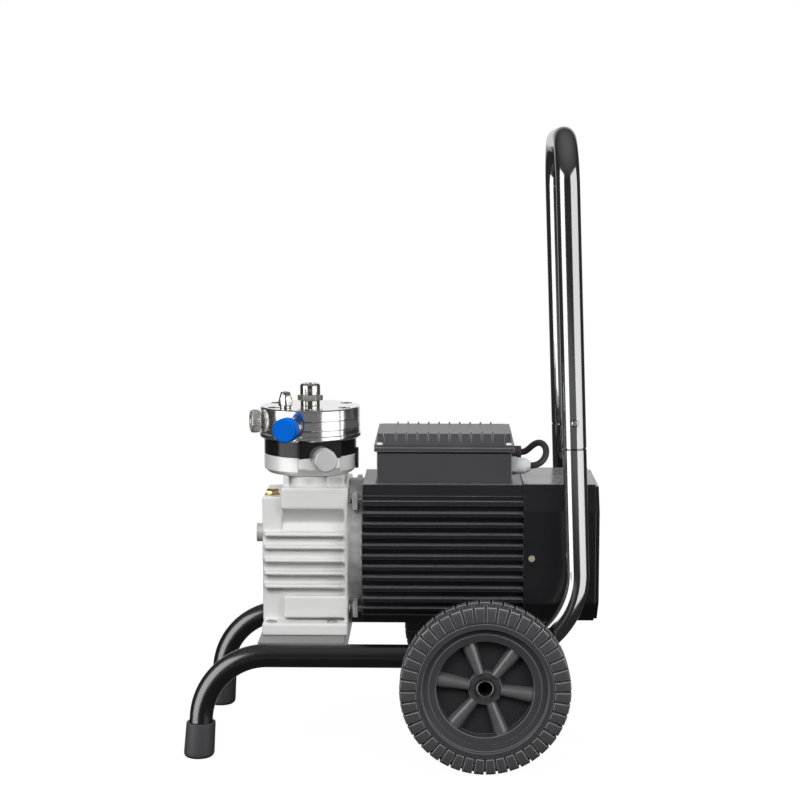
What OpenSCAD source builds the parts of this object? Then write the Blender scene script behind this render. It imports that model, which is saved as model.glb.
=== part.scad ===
// Airless paint sprayer: an electric motor and an oil-driven diaphragm pump on a two-wheeled tube frame.
// Millimetres, +Z up. The origin lies on the ground under the middle of the machine's length and width.
// +X points from the pump to the motor's fan, and -Y is the machine's left side.

/* [Frame tubes] */
// Outside diameter of the frame tubes
tube_d = 28; // [26:0.5:30]
// Wall thickness of the frame tubes
tube_wall = 2; // [1.5:0.25:2.5]
// Distance between the centre lines of the two side rails
rail_gauge = 234; // [230:1:250]
// Centre-line radius of the bend from leg to rail
front_bend_r = 80; // [70:1:84]
// Centre-line radius of the bend from rail to upright
rear_bend_r = 100; // [85:1:110]
// Distance from the axle forward to the middle of a foot
foot_reach = 342; // [335:1:370]
// Distance from the axle back to the centre line of the uprights
upright_reach = 110; // [104:1:120]
// Outward splay of the front legs
leg_splay = 4; // [1:0.5:7]

/* [Handle] */
// Forward lean of the uprights and the handle
handle_lean = 2; // [0.5:0.5:4]
// Height of the joint between the lower tubes and the handle
joint_z = 375; // [360:1:420]
// Height of the top of the handle
handle_top = 751; // [700:1:820]
// Centre-line radius of the handle's two corners
handle_bend_r = 60; // [45:1:80]
// Length of the necked tube end inside the handle
spigot_l = 60; // [50:1:70]
// Radial clearance between the necked end and the handle tube
spigot_gap = 0.25; // [0.1:0.05:0.4]
// Diameter of a snap button's pin
button_d = 8; // [6:0.5:9]
// Height that a snap button stands out of the tube
button_proud = 3; // [2:0.5:4]
// Height of the snap buttons above the joint
button_up = 31; // [30:1:36]
// Thickness of the snap buttons' leaf springs
leaf_t = 0.8; // [0.6:0.1:1]

/* [Feet] */
// Diameter of a rubber boot at the ground
boot_d = 37; // [34:0.5:40]
// Diameter of a rubber boot at its top
boot_top_d = 35; // [33:0.5:36]
// Height of a rubber boot
boot_h = 43; // [30:1:48]
// Thickness of rubber under a tube end
boot_floor = 6; // [4:0.5:8]

/* [Wheels] */
// Diameter of a tyre
wheel_d = 200; // [190:1:206]
// Width of a tyre
wheel_w = 43; // [38:1:46]
// Distance between the middle planes of the wheels
wheel_track = 331; // [326:1:350]
// Diameter of the rim's flanges
rim_d = 160; // [150:1:164]
// Diameter of the open dish that holds the spokes
dish_d = 114; // [100:1:120]
// Diameter of a wheel hub
hub_d = 39.6; // [34:0.4:44]
// Distance that a hub stands out from the wheel's middle plane
hub_out = 5; // [3:0.5:9]
// Number of spokes in a wheel
spoke_n = 6; // [4:1:8]
// Number of tread lugs round each shoulder of a tyre
lug_n = 44; // [36:2:52]
// Width of the grooves between tread lugs
lug_gap = 2.6; // [2:0.2:3.4]
// Depth of the tread and of the side lugs
lug_depth = 2.5; // [2:0.25:3]
// Diameter of the axle tube
axle_d = 20; // [18:0.5:22]
// Wall thickness of the axle tube
axle_wall = 1.4; // [1:0.2:2.4]
// Wall thickness of a wheel bush
bush_wall = 2; // [1.5:0.25:3]
// Thickness of an axle clip
clip_t = 1.5; // [1:0.25:2]

/* [Cross members] */
// Thickness of the folded plates between the rails
plate_t = 4; // [3:0.5:5]
// Height of the folded plates
channel_h = 26; // [20:1:30]
// Size of the mounting bolts
bolt_d = 8; // [6:1:8]

/* [Motor] */
// Height of the shaft above the deck
shaft_h = 99; // [96:0.5:104]
// Width of the motor's finned housing
motor_w = 174; // [170:1:180]
// Height of the motor's finned housing
motor_h = 170; // [168:1:176]
// Corner chamfer of the housing
motor_corner = 26; // [20:1:30]
// Distance from the axle forward to the front of the housing
motor_front = 147; // [144:1:150]
// Distance from the axle back to the rear of the housing
motor_back = 47; // [44:1:50]
// Spacing of the cooling fins
fin_pitch = 13; // [12:0.5:14]
// Thickness of a cooling fin
fin_t = 4.5; // [3.5:0.5:6]
// Depth of the grooves between cooling fins
fin_depth = 14; // [8:1:16]
// Outside diameter of the stator core
stator_d = 124; // [118:1:128]
// Outside diameter of the rotor
rotor_d = 68; // [60:1:72]
// Length of the stator and rotor cores
core_l = 90; // [70:1:96]
// Diameter of the motor shaft
shaft_d = 20; // [18:0.5:22]
// Outside diameter of the shaft's ball bearings
bearing_d = 47; // [44:1:50]
// Width of the shaft's ball bearings
bearing_w = 14; // [12:1:15]
// Diameter of the cast bell between motor and pump
bell_d = 166; // [160:1:170]

/* [Fan cowl] */
// Distance from the axle back to the end of the fan cowl
cowl_back = 138; // [134:1:144]
// Wall thickness of the fan cowl
cowl_wall = 2.5; // [2:0.25:3]
// Height of the cowl's top above the shaft
cowl_top = 87; // [86:0.5:90]
// Width of the cowl's flat top
cowl_top_w = 136; // [120:1:140]
// Diameter of the cooling fan
fan_d = 140; // [120:1:148]

/* [Terminal box] */
// Length of the terminal box
box_l = 163.6; // [156:0.4:166]
// Width of the terminal box
box_w = 100; // [96:1:104]
// Height of the box body up to its rim
box_h = 40.5; // [40:0.5:46]
// Height of the rim
rim_h = 5.5; // [4:0.5:7]
// Height of the lid
lid_h = 16.7; // [14:0.5:20]
// Wall thickness of box and lid
box_wall = 2.5; // [2:0.25:3]
// Distance that the rim stands out from the body
rim_out = 3.4; // [2:0.2:4]
// Number of ribs along each side of the lid
lid_rib_n = 10; // [6:1:11]
// Spacing of the lid's ribs
lid_rib_pitch = 13; // [11:0.5:13.5]
// Thickness of the lid's ribs
lid_rib_t = 2; // [1.5:0.25:3]
// Diameter of the capacitors
capacitor_d = 34; // [28:1:34]
// Length of the capacitors
capacitor_l = 75; // [60:1:76]
// Size of the hexagons of the cable glands, across corners
gland_d = 23; // [20:0.5:24]
// Diameter of the lead between the box and its socket
lead_d = 8; // [7:0.5:9]

/* [Pump body] */
// Distance from the axle forward to the axis of the pump head
pump_reach = 214; // [212:0.5:216]
// Distance from the pump axis forward to the front of the crankcase
case_front = 56; // [54:0.5:58]
// Diameter of the crankcase
case_d = 104; // [100:1:108]
// Wall thickness of the crankcase
case_wall = 9; // [8:0.5:12]
// Distance between the outer edges of the crankcase's side fins
case_w = 120; // [112:1:124]
// Spacing of the crankcase's side fins
rib_pitch = 16; // [15:0.5:17]
// Thickness of a side fin
rib_t = 4.5; // [3.5:0.5:6]
// Number of side fins
rib_n = 5; // [3:1:5]
// Width of the pump's base flange
base_w = 150; // [146:1:156]
// Thickness of the pump's base flange
base_t = 14.6; // [12:0.2:16]
// Height of the pump's top face above the shaft
case_top = 80; // [78:0.5:82]
// Diameter of the neck under the pump head
neck_d = 44; // [40:1:50]
// Height of the neck
neck_h = 13; // [11:0.5:16]
// Offset of the eccentric that drives the piston
throw = 3; // [1:0.5:4]
// Diameter of the eccentric
eccentric_d = 30; // [28:1:34]
// Thickness of the bearing ring on the eccentric
race_t = 3; // [2:0.5:4]
// Diameter of the piston
piston_d = 18; // [14:1:20]
// Wall thickness of the piston's sleeve
sleeve_wall = 5; // [4:0.5:6]
// Diameter of the oil filler plug and of its thread
filler_d = 16; // [14:1:18]
// Diameter of the oil level plug
sight_d = 23; // [20:1:24]

/* [Pump head] */
// Diameter of the two lower rings of the head
ring_d = 114; // [110:1:118]
// Height of the lower, bright ring
housing_h = 23; // [20:0.5:25]
// Height of the black ring
spacer_h = 19.4; // [17:0.2:22]
// Width of the flat boss on both rings
boss_w = 52; // [46:1:56]
// Turn of the flat boss and the pressure valve from the left side, towards the motor
boss_turn = 15; // [5:1:25]
// Diameter of the head disc
disc_d = 123.4; // [118:0.2:128]
// Height of the head disc
disc_h = 38.6; // [34:0.2:42]
// Diameter of the circle of head bolts
bolt_circle_d = 100; // [96:1:102]
// Diameter of the head bolts' threads
head_bolt_d = 8; // [6:1:8]
// Diameter of the suction inlet's bore
inlet_bore_d = 14; // [10:1:16]
// Height of the suction inlet above the head disc
inlet_h = 27.3; // [24:0.5:32]
// Height of the return port above the head disc
return_h = 20; // [16:0.5:24]
// Bore of the return port
return_bore_d = 6; // [4:0.5:8]
// Turn of the relief valve from the left side, away from the motor
relief_turn = 15; // [10:1:24]
// Diameter of the blue relief knob
relief_knob_d = 30; // [26:1:32]
// Diameter of the pressure control knob
pressure_knob_d = 28; // [24:1:32]
// Distance from the head's axis to the faces of both knobs
knob_reach = 98; // [92:1:104]
// Turn of the outlet fitting from the left side, away from the motor
outlet_turn = 75; // [70:1:90]
// Thread diameter of the hose outlet
outlet_d = 16; // [14:0.5:18]

/* [Fits] */
// Clearance where one fixed piece seats in another
seat_gap = 0.05; // [0.02:0.01:0.1]
// Radial clearance of shafts in their bearings
run_gap = 0.05; // [0.02:0.01:0.1]
// Clearance between pieces that move past each other
air_gap = 0.3; // [0.3:0.05:0.5]

/* [Hidden] */
$fn = 96;

BLACK = [0.06, 0.06, 0.065];
RUBBER = [0.2, 0.2, 0.21];
PLASTIC = [0.24, 0.24, 0.25];
STEEL = [0.7, 0.7, 0.72];
BRIGHT = [0.82, 0.82, 0.83];
CASTING = [0.8, 0.8, 0.78];
BRASS = [0.72, 0.56, 0.28];

// Frame geometry
tube_r = tube_d / 2;
rail_y = rail_gauge / 2;
wheel_r = wheel_d / 2;
wheel_y = wheel_track / 2;
axle_r = axle_d / 2;
axle_x = (foot_reach + boot_d / 2 - cowl_back) / 2;
rail_z = wheel_r + axle_r + tube_r + seat_gap;
deck_z = rail_z + tube_r;
front_bend_z = rail_z - front_bend_r;
leg_top_z = front_bend_z + front_bend_r * sin(leg_splay);
foot_x = axle_x - foot_reach;
front_bend_x = foot_x + front_bend_r * cos(leg_splay) + leg_top_z * tan(leg_splay);
leg_l = leg_top_z / cos(leg_splay);
rear_bend_x = axle_x + upright_reach - rear_bend_r;
rear_bend_z = rail_z + rear_bend_r;
upright_x = rear_bend_x + rear_bend_r * cos(handle_lean);
upright_z = rear_bend_z + rear_bend_r * sin(handle_lean);
joint_h = (joint_z - upright_z) / cos(handle_lean);
bar_h = (handle_top - tube_r - upright_z) / cos(handle_lean);
edge_break = 1.2;
bore_over = 1;
bead_over = 0.05;
bead_l = 1;
plate_tuck = 6;

// Handle joint
spigot_r = tube_r - tube_wall - spigot_gap;
spigot_bore_r = spigot_r - tube_wall;
spigot_root = 6;
button_h = joint_h + button_up;
button_r = button_d / 2;
button_hole_r = button_r + 0.1;
button_chamfer = 1;
flange_r = button_r + 2;
flange_t = 1.5;
flange_y = sqrt(pow(spigot_bore_r, 2) - pow(flange_r, 2)) - air_gap;
leaf_w = 8;
leaf_l = 30;

// Wheel geometry
hub_r = hub_d / 2;
rim_r = rim_d / 2;
bead_r = rim_r - 2;
dish_r = dish_d / 2;
half_w = wheel_w / 2;
lip_r = rim_r - 6.4;
core_r = wheel_r - lug_depth;
core_half = half_w - lug_depth;
tread_inner = 5;
shoulder = 4;
web_t = 4;
hub_in = wheel_y - rail_y - tube_r - air_gap;
bush_r = axle_r + run_gap + bush_wall;
bracket_arm = 26;
bracket_wall = 5;
bracket_t = 6;
clip_r = axle_r + 3;
clip_y = wheel_y + hub_out + air_gap;
axle_end = clip_y + clip_t + 2;
groove_r = axle_r - 0.7;
spoke_w = 15;
spoke_turn = 5;
spoke_top = 8;
dish_top = spoke_top + 1;
spoke_ridge = 4;
spoke_crest = 2;

// Motor geometry
shaft_z = deck_z + shaft_h;
motor_x0 = axle_x - motor_front;
motor_x1 = axle_x + motor_back;
half_motor_w = motor_w / 2;
half_motor_h = motor_h / 2;
motor_top_z = shaft_z + half_motor_h;
pump_x = axle_x - pump_reach;
pump_x0 = pump_x - case_front;
pump_x1 = motor_x0 - 17.5;
stator_r = stator_d / 2;
rotor_r = rotor_d / 2;
rotor_air = 0.5;
core_x = (motor_x0 + motor_x1) / 2;
core_x0 = core_x - core_l / 2;
core_x1 = core_x + core_l / 2;
winding_l = 22;
winding_wall = 20;
shaft_r = shaft_d / 2;
bearing_r = bearing_d / 2;
bearing_boss_r = bearing_r + 7;
shield_t = 8;
shield_r = half_motor_w - 9;
rear_bearing_x = motor_x1 + 3;
front_bearing_x = motor_x0 - bearing_w - 2;
crank_bearing_x = pump_x0 + 10;
crank_boss_l = 10 + bearing_w;
foot_l = 60;
foot_w = 124;
foot_x0 = axle_x - 45;
motor_bolt_x = [foot_x0 + 12, foot_x0 + foot_l - 12];
motor_bolt_y = foot_w / 2 - 14;
pump_bolt_x = [pump_x0 + 12, pump_x1 - 20];
pump_bolt_y = base_w / 2 - 12;
bolt_r = bolt_d / 2;
bolt_reach = 11;
lug_bolt_r = 3;
bell_lug = 20;
bell_lug_t = 6;
bell_lug_x = pump_x1 + bell_lug_t;
bell_bolt_l = 12;
bell_lug_y = 66;
bell_lug_z = 66;

// Fan cowl geometry
cowl_x0 = motor_x1 - 1;
cowl_x1 = axle_x + cowl_back;
cowl_low = -82;
cowl_corner_y = 27;
cowl_corner_z = 26.5;
cowl_slope = 30;
grille_t = 4;
grille_inset = 2.5;
fan_x = motor_x1 + 30;
fan_w = 36;
fan_hub_r = 22;
blade_n = 8;
blade_t = 2.5;
cowl_screw_x = motor_x1 + 10;

// Terminal box geometry
box_x0 = motor_x0 + 17;
box_x1 = box_x0 + box_l;
box_y = box_w / 2;
box_sink = 2;
rim_y = box_y + 2.4;
rim_x0 = box_x0 - rim_out;
rim_x1 = box_x1 + rim_out;
lid_screw_inset = [3.5, 0.5];
side_gland_x = box_x0 + 60;
box_z = motor_top_z - box_sink;
box_rim_z = box_z + box_h;
lid_z = box_rim_z + rim_h + seat_gap;
lid_edge = 3;
lid_rib_up = 2.2;
lid_top_y = box_y - 4;
gasket_t = 1.5;
gland_z = box_z + 19.5;
gland_y = 20;
gland_bore_r = lead_d / 2 + 0.15;
gland_thread_r = gland_d / 2 - 3;
gland_dome_r = gland_d / 2 - 1.5;
gland_nut_l = 7;
gland_neck_l = 17;
gland_l = 24;
socket_r = 8;
socket_l = 14;
socket_z = box_z + 30.5;
screw_r = 2;
screw_head_r = 3.8;

// Pump geometry
case_r = case_d / 2;
case_bore_r = case_r - case_wall;
half_case_w = case_w / 2;
case_top_z = shaft_z + case_top;
neck_z = case_top_z + neck_h;
shoulder_l = 23;
shoulder_x = pump_x0 + shoulder_l;
shoulder_z = case_top_z - 13;
shoulder_y = 48.5;
waist_y = shoulder_y - 8;
flange_x0 = pump_x1 - 4.5;
slab_t = 26;
foot_z = deck_z + base_t;
sump_z0 = foot_z + 4;
sump_h = 27;
rib_z = shaft_z + 20;
gusset_w = 20;
ecc_r = eccentric_d / 2;
ecc_l = 20;
race_r = ecc_r + run_gap + race_t;
piston_r = piston_d / 2;
piston_z = shaft_z + throw + race_r + air_gap;
piston_head_r = piston_r + 3.5;
piston_head_t = 4.5;
sleeve_r = piston_r + run_gap + sleeve_wall;
sleeve_z = shaft_z + 48;
sleeve_flange_r = sleeve_r + 4;
sleeve_flange_t = 3;
filler_x = pump_x0 + 11;
filler_y = -28;
filler_r = filler_d / 2;
filler_thread_r = filler_r - 3;
sight_r = sight_d / 2;
sight_thread_r = sight_r - 4;
sight_z = shaft_z + 14.5;

// Head geometry
ring_r = ring_d / 2;
housing_z = neck_z + seat_gap;
spacer_z = housing_z + housing_h + seat_gap;
disc_z = spacer_z + spacer_h + seat_gap;
disc_top_z = disc_z + disc_h;
disc_r = disc_d / 2;
disc_lip = 1;
disc_lip_h = 6;
disc_chamfer = 1.5;
disc_groove = 0.5;
disc_groove_z = [disc_z + disc_h * 0.33, disc_z + disc_h * 0.63];
boss_out = 2.5;
chamber_r = ring_r - 18;
chamber_h = 8;
sleeve_top_z = housing_z + housing_h - chamber_h;
diaphragm_t = 2.5;
diaphragm_r = chamber_r + 5;
head_bolt_r = head_bolt_d / 2;
head_cap_r = head_bolt_r * 1.65;
counterbore_r = head_cap_r + 0.7;
head_cap_h = 8;
counterbore_h = head_cap_h + 1;
head_bolt_z = housing_z + 6;
bolt_circle_r = bolt_circle_d / 2;
inlet_r = inlet_bore_d / 2;
inlet_thread_r = inlet_r + 3;
inlet_thread_l = 17;
inlet_hex_z = 5;
inlet_neck_z = 10;
inlet_stub_z = 13;
inlet_stub_r = inlet_thread_r + 2.5;
inlet_chamfer = 2;
return_at = 42;
return_turn = 45;
return_thread_l = 13;
return_hex_r = 8.85;
return_hex_z = 3;
return_stub_z = 11;
return_r = return_bore_d / 2;
return_thread_r = return_r + 2.5;
relief_z = disc_z + disc_h / 2 - 0.5;
relief_thread_r = 7.5;
relief_seat = 22;
relief_collar_r = 11;
relief_collar_x = disc_r + disc_lip + 0.4;
pressure_z = spacer_z + 2;
pressure_thread_r = 7.5;
pressure_collar_r = 13;
pressure_collar_x = ring_r + boss_out + 0.1;
knob_l = 16;
knob_x = knob_reach - knob_l;
knob_chamfer = 1.5;
knob_bore_r = 5;
stem_r = knob_bore_r - run_gap;
outlet_z = relief_z + 2;
outlet_r = outlet_d / 2;
outlet_bore_r = outlet_r - 3.5;
outlet_hex_x = disc_r + 4;
outlet_hex_l = 9;
bleed_z = housing_z + 16;
bleed_r = 13;
bleed_depth = 4;
bleed_proud = 2.5;

// Hand-laid route of the lead, from the rear gland up and over into its socket. X runs from the
// box's rear wall and Z from the gland's axis.
LEAD_ROUTE = [[5, -20, 0], [15, -20, 0], [25, -20, 0], [32, -19.5, 1], [38, -18, 4.5], [42.5, -14, 10],
    [44, -9, 16.5], [42.5, -3, 22], [38.5, 3, 25], [33.5, 9, 24.5], [28, 14, 20.5], [23, 18, 15],
    [18.5, 20, 11.5], [13, 20, 11], [7, 20, 11]];
LEAD_SIDES = 10;

// Outlines across the machine, with Y first and the height above the shaft second
MOTOR_OUTLINE = [[-half_motor_w, -half_motor_h + motor_corner], [-half_motor_w + motor_corner, -half_motor_h],
    [half_motor_w - motor_corner, -half_motor_h], [half_motor_w, -half_motor_h + motor_corner],
    [half_motor_w, half_motor_h - motor_corner], [half_motor_w - motor_corner, half_motor_h],
    [-half_motor_w + motor_corner, half_motor_h], [-half_motor_w, half_motor_h - motor_corner]];
COWL_OUTLINE = [[-half_motor_w, cowl_low + cowl_corner_z], [-half_motor_w + cowl_corner_y, cowl_low],
    [half_motor_w - cowl_corner_y, cowl_low], [half_motor_w, cowl_low + cowl_corner_z],
    [half_motor_w, cowl_top - cowl_slope], [cowl_top_w / 2, cowl_top],
    [-cowl_top_w / 2, cowl_top], [-half_motor_w, cowl_top - cowl_slope]];

// Points of a convex outline, drawn anticlockwise, moved inwards by t
function inward(p, t) = [for (i = [0:len(p) - 1])
    let (a = p[(i + len(p) - 1) % len(p)], b = p[i], c = p[(i + 1) % len(p)])
    let (u = (b - a) / norm(b - a), v = (c - b) / norm(c - b))
    let (n = [-u[1], u[0]], m = [-v[1], v[0]])
    b + t * (n + m) / (1 + n * m)];

// Points of a circle of radius r in the plane across direction d at point p
function ring_points(p, d, r, n) = let (u = cross(d, [0, 0.3, 1]) / norm(cross(d, [0, 0.3, 1])))
    let (v = cross(d, u) / norm(cross(d, u)))
    [for (i = [0:n - 1]) p + r * (cos(360 * i / n) * u + sin(360 * i / n) * v)];

// A round tube of radius r swept along a list of points
module swept(route, r, n) {
    last = len(route) - 1;
    rings = [for (i = [0:last]) each ring_points(route[i],
        route[min(i + 1, last)] - route[max(i - 1, 0)], r, n)];
    sides = [for (i = [0:last - 1], k = [0:n - 1], half = [0, 1])
        let (a = i * n + k, b = i * n + (k + 1) % n)
        half == 0 ? [a, a + n, b + n] : [a, b + n, b]];
    start = [for (k = [0:n - 1]) k];
    end = [for (k = [n - 1:-1:0]) last * n + k];
    polyhedron(points = rings, faces = concat([start], sides, [end]));
}

// Children on the right side as drawn, or mirrored to the left side
module on_side(s) {
    if (s > 0) children();
    else mirror([0, 1, 0]) children();
}

module rod_x(x0, x1, r) {
    translate([x0, 0, 0]) rotate([0, 90, 0]) cylinder(r = r, h = x1 - x0);
}

module rod_y(y0, y1, r) {
    translate([0, y0, 0]) rotate([-90, 0, 0]) cylinder(r = r, h = y1 - y0);
}

// A shape drawn with Y and Z as its two axes, extruded along X
module along_x(x0, x1) {
    translate([x0, 0, 0]) rotate([90, 0, 90]) linear_extrude(x1 - x0) children();
}

// A block between two corners
module block(a, b) {
    translate(a) cube(b - a);
}

// The frame of one leg: local Z runs up the leg from the ground
module on_leg() {
    translate([foot_x, 0, 0]) rotate([0, leg_splay, 0]) children();
}

// The frame of the uprights: local Z runs up them from the end of the rear bend
module on_upright() {
    translate([upright_x, 0, upright_z]) rotate([0, -handle_lean, 0]) children();
}

// A bend in the upright plane of a rail, from angle a0 to a1
module bend(x, z, bend_r, a0, a1, r) {
    translate([x, 0, z]) rotate([90, 0, 0]) rotate([0, 0, a0])
        rotate_extrude(angle = a1 - a0) translate([bend_r, 0]) circle(r);
}

// The frame of a wheel: local Z is the axle's axis and points outwards
module at_wheel(s) {
    on_side(s) translate([axle_x, wheel_y, wheel_r]) rotate([-90, 0, 0]) children();
}

module at_shaft() {
    translate([0, 0, shaft_z]) children();
}

// The frame of a radial valve on the head: local Z points outwards, turned from the left side
module at_head(turn, z) {
    translate([pump_x, 0, z]) rotate([0, 0, -90 - turn]) rotate([0, 90, 0]) children();
}

// Frame

// One side's leg, bends and straight rail as a run of radius r, with a fine bead at each slanted bend end
module rail_run(r, over) {
    on_leg() {
        translate([0, 0, boot_floor - over]) cylinder(r = r, h = leg_l - boot_floor + over);
        translate([0, 0, leg_l - bead_l / 2]) cylinder(r = r + bead_over, h = bead_l);
    }
    bend(front_bend_x, front_bend_z, front_bend_r, 90, 180 - leg_splay, r);
    translate([0, 0, rail_z]) rod_x(front_bend_x, rear_bend_x, r);
    bend(rear_bend_x, rear_bend_z, rear_bend_r, -90, handle_lean, r);
    on_upright() translate([0, 0, -bead_l / 2]) cylinder(r = r + bead_over, h = bead_l);
}

module rail(s) {
    color(BLACK) on_side(s) translate([0, rail_y, 0]) difference() {
        union() {
            rail_run(tube_r, 0);
            on_upright() {
                cylinder(r = tube_r, h = joint_h - edge_break);
                translate([0, 0, joint_h - edge_break])
                    cylinder(r1 = tube_r, r2 = tube_r - edge_break, h = edge_break);
                cylinder(r = spigot_r, h = joint_h + spigot_l);
            }
        }
        rail_run(tube_r - tube_wall, bore_over);
        on_upright() {
            cylinder(r = tube_r - tube_wall, h = joint_h - spigot_root);
            cylinder(r = spigot_bore_r, h = joint_h + spigot_l + bore_over);
            translate([0, 0, button_h]) rod_y(0, tube_r, button_hole_r);
        }
    }
}

module handle_run(r, over) {
    for (s = [-1, 1]) on_side(s) {
        translate([0, rail_y, joint_h + edge_break + seat_gap - over])
            cylinder(r = r, h = bar_h - handle_bend_r - joint_h - edge_break - seat_gap + over);
        translate([0, rail_y - handle_bend_r, bar_h - handle_bend_r]) rotate([0, 0, 90])
            rotate([90, 0, 0]) rotate_extrude(angle = 90) translate([handle_bend_r, 0]) circle(r);
    }
    translate([0, 0, bar_h]) rod_y(-rail_y + handle_bend_r, rail_y - handle_bend_r, r);
}

module handle() {
    color(BLACK) on_upright() difference() {
        union() {
            handle_run(tube_r, 0);
            for (s = [-1, 1]) translate([0, s * rail_y, joint_h + seat_gap])
                cylinder(r1 = tube_r - edge_break, r2 = tube_r, h = edge_break);
        }
        handle_run(tube_r - tube_wall, edge_break + bore_over);
        for (s = [-1, 1]) on_side(s) translate([0, rail_y, button_h]) rod_y(0, tube_r + 1, button_hole_r);
    }
}

module at_button(s) {
    on_side(s) on_upright() translate([0, rail_y, button_h]) children();
}

module snap_button(s) {
    color(BRIGHT) at_button(s) {
        rod_y(flange_y - flange_t, flange_y, flange_r);
        rod_y(flange_y, tube_r + button_proud - button_chamfer, button_r);
        translate([0, tube_r + button_proud - button_chamfer, 0]) rotate([-90, 0, 0])
            cylinder(r1 = button_r, r2 = button_r - button_chamfer, h = button_chamfer);
    }
}

module snap_springs() {
    back = flange_y - flange_t - seat_gap;
    far = -sqrt(pow(spigot_bore_r, 2) - pow(leaf_w / 2, 2)) + air_gap;
    color(STEEL) for (s = [-1, 1]) at_button(s) along_x(-leaf_w / 2, leaf_w / 2)
        polygon([[back, 5], [back, -5], [leaf_t, -leaf_l], [-leaf_t, -leaf_l], [far, 0],
            [far + leaf_t, 0], [0, -leaf_l + 3], [back - leaf_t, -5], [back - leaf_t, 5]]);
}

module foot_boots() {
    color(RUBBER) for (s = [-1, 1]) on_side(s) translate([0, rail_y, 0]) difference() {
        on_leg() difference() {
            translate([0, 0, -boot_floor])
                cylinder(r1 = boot_d / 2, r2 = boot_top_d / 2, h = boot_h + boot_floor);
            translate([0, 0, boot_floor - seat_gap]) cylinder(r = tube_r + seat_gap, h = boot_h);
        }
        translate([foot_x - boot_d, -boot_d, -boot_d]) cube([2 * boot_d, 2 * boot_d, boot_d]);
    }
}

module axle() {
    color(STEEL) translate([axle_x, 0, wheel_r]) difference() {
        rod_y(-axle_end, axle_end, axle_r);
        rod_y(-axle_end - 1, axle_end + 1, axle_r - axle_wall);
        for (s = [-1, 1]) on_side(s) difference() {
            rod_y(clip_y, clip_y + clip_t + seat_gap, axle_r + 1);
            rod_y(clip_y - 1, clip_y + clip_t + 1, groove_r);
        }
    }
}

module axle_brackets() {
    color(BLACK) for (s = [-1, 1]) on_side(s) difference() {
        translate([axle_x, rail_y, 0]) {
            translate([0, 0, wheel_r]) rod_y(-tube_r, tube_r, axle_r + bracket_wall);
            block([-bracket_arm, -bracket_t / 2, wheel_r], [bracket_arm, bracket_t / 2, rail_z]);
        }
        translate([axle_x, rail_y, wheel_r]) rod_y(-tube_d, tube_d, axle_r + seat_gap);
        translate([axle_x, rail_y, rail_z]) rod_x(-bracket_arm - 1, bracket_arm + 1, tube_r + seat_gap);
    }
}

module axle_clips() {
    color(STEEL) for (s = [-1, 1]) on_side(s) translate([axle_x, 0, wheel_r]) difference() {
        rod_y(clip_y, clip_y + clip_t, clip_r);
        rod_y(clip_y - 1, clip_y + clip_t + 1, groove_r + seat_gap);
        block([-groove_r * 0.7, clip_y - 1, -clip_r - 1], [groove_r * 0.7, clip_y + clip_t + 1, 0]);
    }
}

// Wheels

module spokes() {
    for (i = [0:spoke_n - 1]) rotate([0, 0, 360 * i / spoke_n + spoke_turn])
        along_x(hub_r - 2, dish_r + 1) polygon([[-spoke_w / 2, 0], [spoke_w / 2, 0],
            [spoke_w / 2, spoke_top - spoke_ridge], [spoke_crest, spoke_top], [-spoke_crest, spoke_top],
            [-spoke_w / 2, spoke_top - spoke_ridge]]);
}

module wheel(s) {
    color(PLASTIC) at_wheel(s) difference() {
        union() {
            rotate_extrude() polygon([[dish_r, -web_t], [dish_r, dish_top], [lip_r, half_w - 4],
                [lip_r, half_w], [rim_r, half_w], [rim_r, core_half], [bead_r, core_half],
                [bead_r, -core_half], [rim_r, -core_half], [rim_r, -half_w], [lip_r, -half_w],
                [lip_r, half_w - 9], [dish_r + 4, dish_top - 4], [dish_r + 4, -web_t]]);
            translate([0, 0, -web_t]) cylinder(r = dish_r + 1, h = web_t);
            translate([0, 0, -hub_in]) cylinder(r = hub_r, h = hub_in + hub_out);
            spokes();
        }
        translate([0, 0, -hub_in - 1]) cylinder(r = bush_r + seat_gap, h = hub_in + hub_out + 2);
    }
}

module bush(s) {
    color(BRIGHT) at_wheel(s) difference() {
        translate([0, 0, -hub_in]) cylinder(r = bush_r, h = hub_in + hub_out);
        translate([0, 0, -hub_in - 1]) cylinder(r = axle_r + run_gap, h = hub_in + hub_out + 2);
    }
}

// A flat ring cut into lugs by straight radial grooves
module lug_ring(inner, outer, turn) {
    difference() {
        circle(outer);
        circle(inner);
        for (i = [0:lug_n - 1]) rotate(turn + 360 * i / lug_n)
            translate([inner - 1, -lug_gap / 2]) square([outer - inner + 2, lug_gap]);
    }
}

module tyre(s) {
    color(RUBBER) at_wheel(s) {
        rotate_extrude() polygon([[bead_r + seat_gap, -core_half + seat_gap],
            [rim_r + seat_gap, -core_half + seat_gap], [rim_r + seat_gap, -core_half],
            [core_r - shoulder, -core_half], [core_r, -core_half + shoulder],
            [core_r, core_half - shoulder], [core_r - shoulder, core_half], [rim_r + seat_gap, core_half],
            [rim_r + seat_gap, core_half - seat_gap], [bead_r + seat_gap, core_half - seat_gap]]);
        intersection() {
            union() for (k = [0, 1]) mirror([0, 0, k]) {
                translate([0, 0, core_half - lug_depth])
                    linear_extrude(2 * lug_depth) lug_ring(rim_r + 1, wheel_r, 90 * k / lug_n);
                translate([0, 0, tread_inner])
                    linear_extrude(core_half - tread_inner) lug_ring(core_r - 5, wheel_r, 90 * k / lug_n);
            }
            rotate_extrude() polygon([[rim_r, -half_w], [wheel_r - shoulder, -half_w],
                [wheel_r, -half_w + shoulder], [wheel_r, half_w - shoulder],
                [wheel_r - shoulder, half_w], [rim_r, half_w]]);
        }
    }
}

// Cross members

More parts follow.
